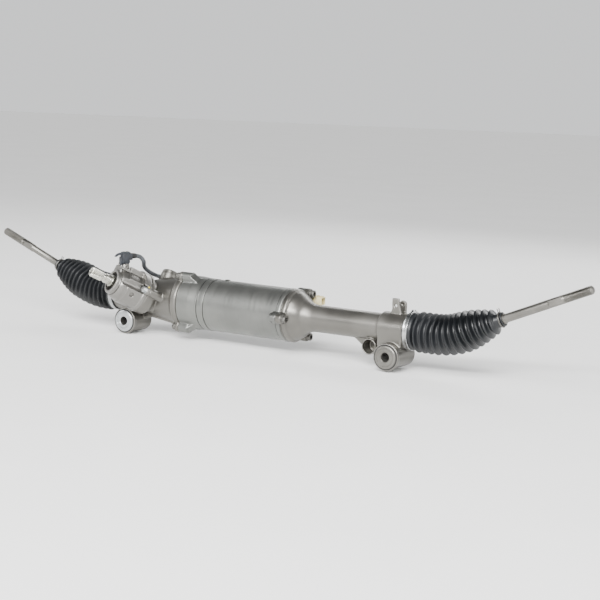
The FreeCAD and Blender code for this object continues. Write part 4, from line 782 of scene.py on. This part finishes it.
# tie rods: ball, neck, shoulder under the bellows clip, flats for a spanner, rolled thread
tieRod = {
    "ball": 12.5, "neck": 5.5, "shankStart": 36, "steps": 48, "flatsLength": 27.0, "flatsDepth": 1.7,
    "thread": 7.2, "threadLength": 50.0, "threadDepth": 0.85, "threadSteps": 28, "pitch": 1.5, "runOut": 3.2,
}


def rodFrameOf(side):
    end = ends[side]
    rise = math.radians(end["rise"])
    way = end["way"]
    return frameAt((end["ball"], 0, layout["rackHeight"]), (way * math.cos(rise), 0, math.sin(rise)),
                   (-way * math.sin(rise), 0, math.cos(rise)))


def rodProfile(end, threadStart, root):
    length, radius, neck, thread = end["rod"], end["radius"], tieRod["neck"], tieRod["thread"]
    shoulder = radius + layout["shoulder"]
    reach = end["boot"] - abs(end["ball"] - end["clamp"])
    flatsStart = threadStart - tieRod["flatsLength"]
    turns = [math.radians(angle) for angle in range(0, 151, 10)]
    ball = [(-tieRod["ball"] * math.cos(turn), tieRod["ball"] * math.sin(turn)) for turn in turns]
    return ball + [(14, neck), (22, neck), (28, neck + 0.3), (tieRod["shankStart"], radius),
                   (reach - 9, radius), (reach - 8, shoulder), (reach + 3, shoulder), (reach + 4.5, radius),
                   (flatsStart - 1, radius), (flatsStart, thread), (threadStart, thread),
                   (threadStart + 1.2, root), (length - 1.6, root), (length - 0.2, root - 1.4),
                   (length, root - 1.8), (length, 0)]


def makeTieRod(side):
    end, top, pitch = ends[side], tieRod["thread"], tieRod["pitch"]
    threadStart = end["rod"] - tieRod["threadLength"]
    root = top - tieRod["threadDepth"]
    rod = lathe(side + "RodBar", atOrigin, rodProfile(end, threadStart, root), tieRod["steps"])
    flat, wide = top - tieRod["flatsDepth"], tieRod["ball"] - 0.5
    near, far = threadStart - tieRod["flatsLength"] + 1, threadStart - 3
    cutWith(rod, [slab("tool", atOrigin, (near, low, -wide), (far, high, wide), 0)
                  for low, high in ((flat, wide), (-wide, -flat))])
    # the thread is one tooth carried round and along by the screw
    thread = started("thread", bpy.ops.mesh.primitive_circle_add, vertices=4, radius=0.001, fill_type="NOTHING")
    tooth = ((0, root - 0.2), (0.15 * pitch, root), (0.5 * pitch, top), (0.85 * pitch, root))
    for vertex, (x, z) in zip(thread.data.vertices, tooth):
        vertex.co = ((threadStart + 0.4 + x) * mm, 0, z * mm)
    steps, turns = tieRod["threadSteps"], int((tieRod["threadLength"] - tieRod["runOut"]) / pitch)
    apply(thread, "SCREW", axis="X", angle=math.tau, screw_offset=pitch * mm, iterations=turns,
          steps=steps, render_steps=steps, use_normal_calculate=True)
    piece = joined(side + "TieRod", [rod, thread])
    piece.data.transform(rodFrameOf(side))
    settle(piece, side + "_rod", drawnSteel, [side + "_tie_rod"], 40)


for side in ends:
    makeTieRod(side)
print("tie rods made")

# mount bushes: flanged inner sleeve, a dark liner in its bore as painted shade, rubber lip behind the flange,
# pressed shell
bush = {
    "bore": 7.8, "sleeve": 11.5, "face": 19.4, "faceDepth": 2.5, "lip": 21.3, "shell": 19.0, "wall": 1.5,
    "groove": {"left": 12.4, "right": 14.0}, "grooveDepth": 0.45, "length": {"left": 60.0, "right": 70.0},
}


def makeBush(side, place, sleeveMaker):
    front, bore, face, sleeve = -layout["bushFront"], bush["bore"], bush["face"], bush["sleeve"]
    inside, back = front + bush["faceDepth"], front + bush["length"][side]
    groove, bottom = bush["groove"][side], front + bush["grooveDepth"]
    profile = [(front + 0.8, bore), (front, bore + 0.8), (front, groove), (bottom, groove + 0.3),
               (bottom, groove + 1.1), (front, groove + 1.5), (front, face - 1.8), (front + 0.7, face - 0.5),
               (front + 1.4, face), (inside - 0.3, face), (inside - 0.3, sleeve), (back, sleeve),
               (back, bore + 0.8), (back - 0.8, bore)]
    dress(ringOf(side + "BushSleeve", place, profile), side + "_bush_sleeve", sleeveMaker)
    near, far = front + 1.2, back - 1.2
    # a thin dark ring just inside the bore's wall, in the bolts' phosphate finish: painted shade that stands in
    # for the shade deep down the hole
    paintedBoreShade = [(near, bore - 0.02), (far, bore - 0.02), (far, bore - 0.3), (near, bore - 0.3)]
    settle(ringOf(side + "BushBorePaintedShade", place, paintedBoreShade), "housing", phosphatedSteel,
           [side + "_bush_sleeve"])
    lip, outer = bush["lip"], bush["shell"]
    shell = outer - bush["wall"]
    rubber = [(inside - 0.25, sleeve + 0.1), (inside - 0.25, lip - 0.6), (inside - 0.05, lip),
              (inside + 0.5, lip), (inside + 0.5, shell), (back - 4, shell), (back - 2.6, shell - 1.5),
              (back - 3.4, shell - 3), (back - 2.8, sleeve + 1.5), (back - 3.6, sleeve + 0.1)]
    dress(ringOf(side + "BushRubber", place, rubber), side + "_bush_rubber", bondedRubber)
    steel = [(inside + 0.8, shell), (inside + 0.8, outer), (back - 3, outer), (back - 2.4, outer - 0.5),
             (back - 2.4, shell)]
    dress(ringOf(side + "BushShell", place, steel), side + "_bush_shell", drawnSteel)


makeBush("left", leftMount, brightZinc)
makeBush("right", rightMount, drawnSteel)
print("mount bushes made")


# input shaft: serrated end, groove for the pinch bolt, collar over the dust seal
inputEnd = {
    "mouth": 107.0, "tip": 150.0, "bottom": 47.6, "land": 9.6, "radius": 8.8, "journal": 8, "core": 3,
    "collar": 11, "serrations": 36, "depth": 0.7, "serratedFrom": 21.5, "serratedAbove": 7,
}


def makeInputShaft():
    mouth, tip, radius, land = (inputEnd[key] for key in ("mouth", "tip", "radius", "land"))
    bottom, core, journal, collar = (inputEnd[key] for key in ("bottom", "core", "journal", "collar"))
    profile = [(bottom, core), (bottom, journal), (mouth - 14, journal), (mouth - 13.6, land),
               (mouth - 2.4, land), (mouth - 2, collar - 0.4), (mouth - 1.6, collar), (mouth + 2.1, collar),
               (mouth + 2.5, collar - 0.4), (mouth + 2.6, 8.4), (mouth + 6, 8.4), (mouth + 7, 7.9),
               (mouth + 8, 8.6), (mouth + 14, radius), (mouth + 15.2, 7.0), (mouth + 19.6, 7.0),
               (mouth + 20.8, radius - 0.1), (mouth + 22, radius), (tip - 2.2, radius),
               (tip - 0.6, radius - 1.2), (tip, radius - 1.6), (tip, 4.6), (tip - 1.2, core)]
    shaft = ringOf("inputShaft", atOrigin, profile, inputEnd["serrations"] * 2)
    # every second row of the end is pressed in, which leaves the serrations
    start, above = (mouth + inputEnd["serratedFrom"]) * mm, inputEnd["serratedAbove"] * mm
    for vertex in shaft.data.vertices:
        reach = math.hypot(vertex.co.y, vertex.co.z)
        row = round(math.atan2(vertex.co.z, vertex.co.y) / math.pi * inputEnd["serrations"])
        if vertex.co.x > start and reach > above and row % 2:
            for axis in (1, 2):
                vertex.co[axis] *= 1 - inputEnd["depth"] * mm / reach
    shaft.data.transform(towerFrame)
    dress(shaft, "input_shaft", machinedZinc, 25)
    lip = land + 0.06
    seal = [(mouth - 12, lip), (mouth - 12, 17.4), (mouth - 8.4, 17.4), (mouth - 8, 16.8), (mouth - 8.6, 15.4),
            (mouth - 10.4, 14), (mouth - 10, 11.6), (mouth - 8.2, 10.4), (mouth - 8.2, lip)]
    dress(ringOf("inputDustSeal", towerFrame, seal), "input_dust_seal", bondedRubber)


makeInputShaft()
print("input shaft made")


# bolts: washer head with a hexagon socket on the flanges, hexagon heads on the sensor cover
bolt = {
    "radius": 4.0, "head": 6.6, "flange": 7.8, "height": 7.5, "socket": 7.2, "socketDepth": 6,
    "left": {"length": 23, "seat": 108}, "right": {"length": 24.5, "seat": 342},
    "cover": {"start": 31, "seat": 53.5, "radius": 3, "across": 10, "top": 60.3},
}


def socketBolt(name, length):
    radius, head, flange, height = (bolt[key] for key in ("radius", "head", "flange", "height"))
    profile = [(-length, 0), (-length, radius - 0.8), (-length + 1, radius), (0, radius), (0, flange - 0.3),
               (0.4, flange), (1.1, flange), (1.5, flange - 0.5), (1.7, head), (height - 0.9, head),
               (height - 0.2, head - 0.5), (height, head - 1.1), (height, 0)]
    hollow = hexagon("socket", atOrigin, bolt["socket"], height - bolt["socketDepth"], height + 2)
    return cutWith(lathe(name, atOrigin, profile, 48), [hollow])


def makeBolts():
    for side, way, angles in (("left", -1, leftEars), ("right", 1, rightEars)):
        values = bolt[side]
        ring = copyAt(socketBolt(side + "FlangeBolts", values["length"]),
                      [earFrame(angle, values["seat"], way) for angle in angles])
        dress(ring, side + "_flange_bolts", phosphatedSteel)
    start, seat, radius, across, top = bolt["cover"].values()
    shank = lathe("sensorHousingBolts", atOrigin, [
        (start, 0), (start, radius), (seat, radius), (seat, 6.7), (seat + 0.4, 7), (seat + 1.1, 7),
        (seat + 1.5, 6.6), (seat + 1.5, 0)], 40)
    head = hexagon("head", atOrigin, across, seat + 1.3, top)
    softenEdges(head, 0.5)
    cover = copyAt(joined("sensorHousingBolts", [shank, head]), [lugFrame(angle) for angle in coverLugs])
    dress(cover, "sensor_housing_bolts", brightZinc)


makeBolts()
print("bolts made")


# yellow paint dot on the boss of the cover's upper bolt
paint = {"place": (65.0, -58.4, 69.0), "out": (0.87, -0.23, 0.44), "radius": 1.9}


def makePaintDot():
    profile = [(-0.6, 0), (-0.6, paint["radius"]), (0.2, paint["radius"] - 0.3), (0.4, 0)]
    dot = lathe("paintDot", frameAt(paint["place"], paint["out"], upward), profile, 20)
    settle(dot, "housing", paintMark, ["sensor_housing"])


makePaintDot()
print("paint dot made")


# bellows fittings: band clamp with its folded ear, and a wire clip with two tails at the rod
fitting = {
    "width": 7.4, "shift": 0.5, "radius": 31.1, "thickness": 0.9, "bead": 0.15, "wire": 1.3, "seat": 4.0,
    "tails": ((-1.5, 4), (1.5, -3)),
}


def makeClamp(side):
    end, radius, outer = ends[side], fitting["radius"], fitting["radius"] + fitting["thickness"]
    place = frameAt((end["clamp"], 0, layout["rackHeight"]), (end["way"], 0, 0), upward)
    low, high = (half + fitting["shift"] for half in (-fitting["width"] / 2, fitting["width"] / 2))
    bead = outer + fitting["bead"]
    profile = [(low, radius), (low, outer - 0.25), (low + 0.6, bead), (low + 1.2, outer - 0.1),
               (high - 1.2, outer - 0.1), (high - 0.6, bead), (high, outer - 0.25), (high, radius)]
    band = ringOf("band", place, profile, 128)
    outline = [(-7, radius + 0.3), (-6, radius + 1.6), (-3.4, radius + 1.8), (-2.6, radius + 4.4),
               (2.6, radius + 4.4), (3.4, radius + 1.8), (7.5, radius + 1.5), (8, radius + 0.3)]
    ear = plateFrom("ear", place @ Matrix.Rotation(math.pi / 2, 4, "Z"), outline, -high + 0.7, -low - 0.7, 0.35)
    dress(joined(side + "BootClamp", [band, ear]), side + "_boot_clamp", stainlessStrip)


def makeClip(side):
    end = ends[side]
    reach = end["boot"] - abs(end["ball"] - end["clamp"]) - fitting["seat"]
    ring = neckRadius(end) + fitting["wire"]
    wire = started("wire", bpy.ops.mesh.primitive_torus_add, major_radius=ring * mm,
                   minor_radius=fitting["wire"] * mm, major_segments=72, minor_segments=14)
    wire.data.transform(Matrix.Translation((reach * mm, 0, 0)) @ upToAlong)
    pieces = [wire]
    for shift, lean in fitting["tails"]:
        tail = lathe("tail", atOrigin, [(0, 0), (0, 0.8), (6.4, 0.8), (7.2, 0.3), (7.2, 0)], 12)
        turn = Matrix.Rotation(math.radians(lean), 4, "X") @ Matrix.Rotation(-math.pi / 2, 4, "Y")
        tail.data.transform(Matrix.Translation(((reach + shift) * mm, 0, (ring - 0.2) * mm)) @ turn)
        pieces.append(tail)
    clip = joined(side + "BootClip", pieces)
    clip.data.transform(rodFrameOf(side))
    dress(clip, side + "_boot_clip", phosphatedSteel, 60)


for side in ends:
    makeClamp(side)
    makeClip(side)
print("clamps and clips made")


# sensor plug: body over the socket, cover at the cable's side, dark locking slide, release lever
plug = {"bottom": 11.0, "top": 31.0, "foot": (89, -7, 31), "exit": -11, "exitDrop": 8, "slotLean": -14}
mouthWay = Vector((inputWay.x, inputWay.y, 0)).normalized()
plugFrame = frameAt((sensorFrame @ (Vector(plug["foot"]) * mm)) / mm, mouthWay, upward)
exitPoint = Vector((plug["exit"], 0, plug["top"] - plug["exitDrop"])) * mm
exitFrame = frameAt((plugFrame @ exitPoint) / mm, -mouthWay, upward)


def slabsOf(place, rows):
    # each row is a low corner, a high corner and the rounding of the edges
    return [slab("slab", place, *row) for row in rows]


def makePlug():
    low, top = plug["bottom"], plug["top"]
    body = slabsOf(plugFrame, [
        ((-5.6, -4.4, low), (9, 8, top - 3), 1.0),
        ((-4.6, -3.4, low - 1.6), (8, 7, low + 1), 0.6),
        ((8.4, -3, 7.2), (11.8, 6, top - 9), 0.8),
        ((1, -5.2, low + 2), (2.4, -4, top - 5), 0.4),
        ((4.6, -5.2, low + 2), (6, -4, top - 5), 0.4)])
    dress(joined("sensorPlugBody", body), "sensor_plug", glassFilledNylon)
    cover = slabsOf(plugFrame, [
        ((-11, -5, low + 5), (-5.2, 7, top - 4), 1.3),
        ((-9.6, -5.7, low + 7), (-6.6, -4.8, top - 6), 0.4)])
    dress(joined("sensorPlugCover", cover), "sensor_plug", glassFilledNylon)
    slide = slabsOf(plugFrame, [
        ((-6.6, -4.8, top - 3.4), (8, 7.6, top - 0.6), 1.1),
        ((-5, -3.4, top - 1.2), (-1, 6, top + 0.4), 0.6),
        ((1.4, -3.4, top - 1.2), (5.2, 6, top + 0.2), 0.6)])
    lean = Matrix.Rotation(math.radians(plug["slotLean"]), 4, "Y")
    slotPlace = plugFrame @ Matrix.Translation(Vector((-0.9, -4.9, low + 8.5)) * mm) @ lean
    slot = slab("slot", slotPlace, (-1.2, -0.6, -8), (1.2, 0.6, 8.5), 0.3)
    dress(joined("sensorPlugSlide", slide + [slot]), "sensor_plug", darkNylon)
    outline = [(6, top - 4.6), (5, top - 1.4), (12, top - 2), (17.6, top - 4.6), (21.6, top - 8.4),
               (20.6, top - 9.2), (15.6, top - 6.4), (11, top - 5)]
    dress(plateFrom("sensorPlugLever", plugFrame, outline, -2.6, 5.4, 0.6), "sensor_plug", glassFilledNylon)
    sleeve = [(-1.5, 0), (-1.5, 5), (2.4, 5), (3, 4.6), (3.4, 4.6), (4, 5), (5.4, 4.7), (5.8, 4.3), (6.4, 4.3),
              (7, 4.6), (8.6, 4.2), (9, 3.6), (9, 3.2), (2, 3.2), (2, 0)]
    dress(lathe("sensorPlugSleeve", exitFrame, sleeve, 40), "sensor_plug", bondedRubber)


makePlug()
print("plug made")


# cable: its own length, from the plug's exit to the grommet
cable = {
    "diameter": 7.6, "length": 175.0, "glandX": 84.0, "glandTurn": 52.0, "glandHeight": 41.067,
    "leaving": (6, 16), "arriving": (25, 9),
    "between": ((31.5, -31, 111), (24, -22, 99.5), (24, -8, 90), (25, 8, 82.9), (24, 26, 77), (36, 44, 76),
                (64, 55, 82)),
}


def makeCable():
    turn = math.radians(cable["glandTurn"])
    outward = Vector((0, math.sin(turn), math.cos(turn)))
    axisPoint = Vector((cable["glandX"], 0, layout["rackHeight"]))
    gland = frameAt(axisPoint + outward * cable["glandHeight"], outward, sideways)
    route = [exitFrame @ (Vector((step, 0, 0)) * mm) for step in cable["leaving"]]
    route += [Vector(point) * mm for point in cable["between"]]
    route += [gland @ (Vector((step, 0, 0)) * mm) for step in cable["arriving"]]
    data = bpy.data.curves.new("sensorCable", "CURVE")
    data.dimensions = "3D"
    data.bevel_depth = cable["diameter"] / 2 * mm
    data.bevel_resolution = 6
    data.resolution_u = 24
    data.use_fill_caps = True
    line = data.splines.new("NURBS")
    line.points.add(len(route) - 1)
    for point, spot in zip(line.points, route):
        point.co = (*spot, 1)
    line.order_u = 3
    line.use_endpoint_u = True
    piece = bpy.data.objects.new("sensorCable", data)
    bpy.context.scene.collection.objects.link(piece)
    data.materials.append(finishes.setdefault("cableSheath", cableSheath()))
    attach(piece, "housing")
    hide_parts("sensor_cable")
    profile = [(0, 0), (0, 8), (1, 8), (1.6, 7.4), (3.6, 7.2), (4.6, 6), (5, 5.2), (6, 5.2), (6.4, 4.7),
               (7, 4.7), (7.4, 5), (8.4, 4.8), (9, 4.2), (9, 0)]
    dress(lathe("cableGrommet", gland, profile, 40), "cable_grommet", bondedRubber)


makeCable()
print("cable made")


# cream connector behind the motor: shell with a mouth, then collar, step, latch and two blades
connector = {
    "shell": ((327.7, 47, 15), (358.5, 62, 29), 1.0),
    "mouth": ((346.5, 49, 17), (363, 60, 27), 0.5),
    "details": (
        ((342.5, 45.5, 16), (345.5, 63.5, 30.5), 0.5),
        ((328, 46, 14.2), (337, 63, 29.9), 0.7),
        ((347, 51.5, 28.6), (358, 57.5, 30.6), 0.5),
        ((337, 52, 21.5), (355, 54, 22.5), 0.2),
        ((337, 56, 21.5), (355, 58, 22.5), 0.2),
    ),
}


def makeConnector():
    shell = slab("shell", rackFrame, *connector["shell"])
    cutWith(shell, [slab("mouth", rackFrame, *connector["mouth"])])
    pieces = [shell] + slabsOf(rackFrame, connector["details"])
    dress(joined("motorConnector", pieces), "motor_connector", naturalPolyester)


makeConnector()
print("connector made")

for name, thing in nodes.items():
    if not thing.hide_render:
        coat(thing, nodeFinishes[slotOf[name]])
print("remaining solids finished")

floor = {"size": 160, "middle": 0.27, "gap": 0.0005}


def makeFloor():
    board = started("floorBoard", bpy.ops.mesh.primitive_plane_add, size=floor["size"],
                    location=(floor["middle"], 0, cadBox[0].z - floor["gap"]))
    coat(board, paleFloor)


makeFloor()

# a long strip above the camera gives the barrel its band of light, and the room above it stays dim
studio = {
    "softboxes": {
        "strip": ((0.95, -2.35, 1.4), (3.6, 0.34), 150),
        "left": ((-1.7, -0.9, 0.9), (0.7, 0.9), 22),
        "side": ((2.3, 0.1, 0.8), (0.8, 0.8), 14),
        "back": ((0.2, 1.9, 1.2), (2.4, 0.5), 26),
    },
    "daylight": {"direction": (-0.2, 0.68, -0.74), "spread": 34, "strength": 3.1},
    "aim": (0.27, 0, 0.04),
    "horizon": 1.1,
    "zenith": 0.1,
}


def makeLights(values):
    for name, (place, size, power) in values["softboxes"].items():
        data = bpy.data.lights.new(name + "Softbox", "AREA")
        data.shape = "RECTANGLE"
        data.size, data.size_y = size
        data.energy = power
        lamp = bpy.data.objects.new(name + "Softbox", data)
        bpy.context.scene.collection.objects.link(lamp)
        lamp.location = place
        aim = Vector(values["aim"]) - Vector(place)
        lamp.rotation_mode = "QUATERNION"
        lamp.rotation_quaternion = aim.to_track_quat("-Z", "Y")
    sun = bpy.data.lights.new("daylight", "SUN")
    sun.angle = math.radians(values["daylight"]["spread"])
    sun.energy = values["daylight"]["strength"]
    lamp = bpy.data.objects.new("daylight", sun)
    bpy.context.scene.collection.objects.link(lamp)
    lamp.rotation_mode = "QUATERNION"
    lamp.rotation_quaternion = Vector(values["daylight"]["direction"]).to_track_quat("-Z", "Y")
    world = bpy.data.worlds.new("studioWorld")
    bpy.context.scene.world = world
    world.use_nodes = True
    tree = world.node_tree
    sky = tree.nodes["Background"]
    sky.inputs["Color"].default_value = linear("#f4f5f6")
    direction = addNode(tree, "ShaderNodeTexCoord", {}).outputs["Generated"]
    height = addNode(tree, "ShaderNodeSeparateXYZ", {}, {"Vector": direction}).outputs["Z"]
    glow = spread(tree, height, values["horizon"], values["zenith"], 0.12, 0.75)
    tree.links.new(glow, sky.inputs["Strength"])


makeLights(studio)
print("floor and lights placed")
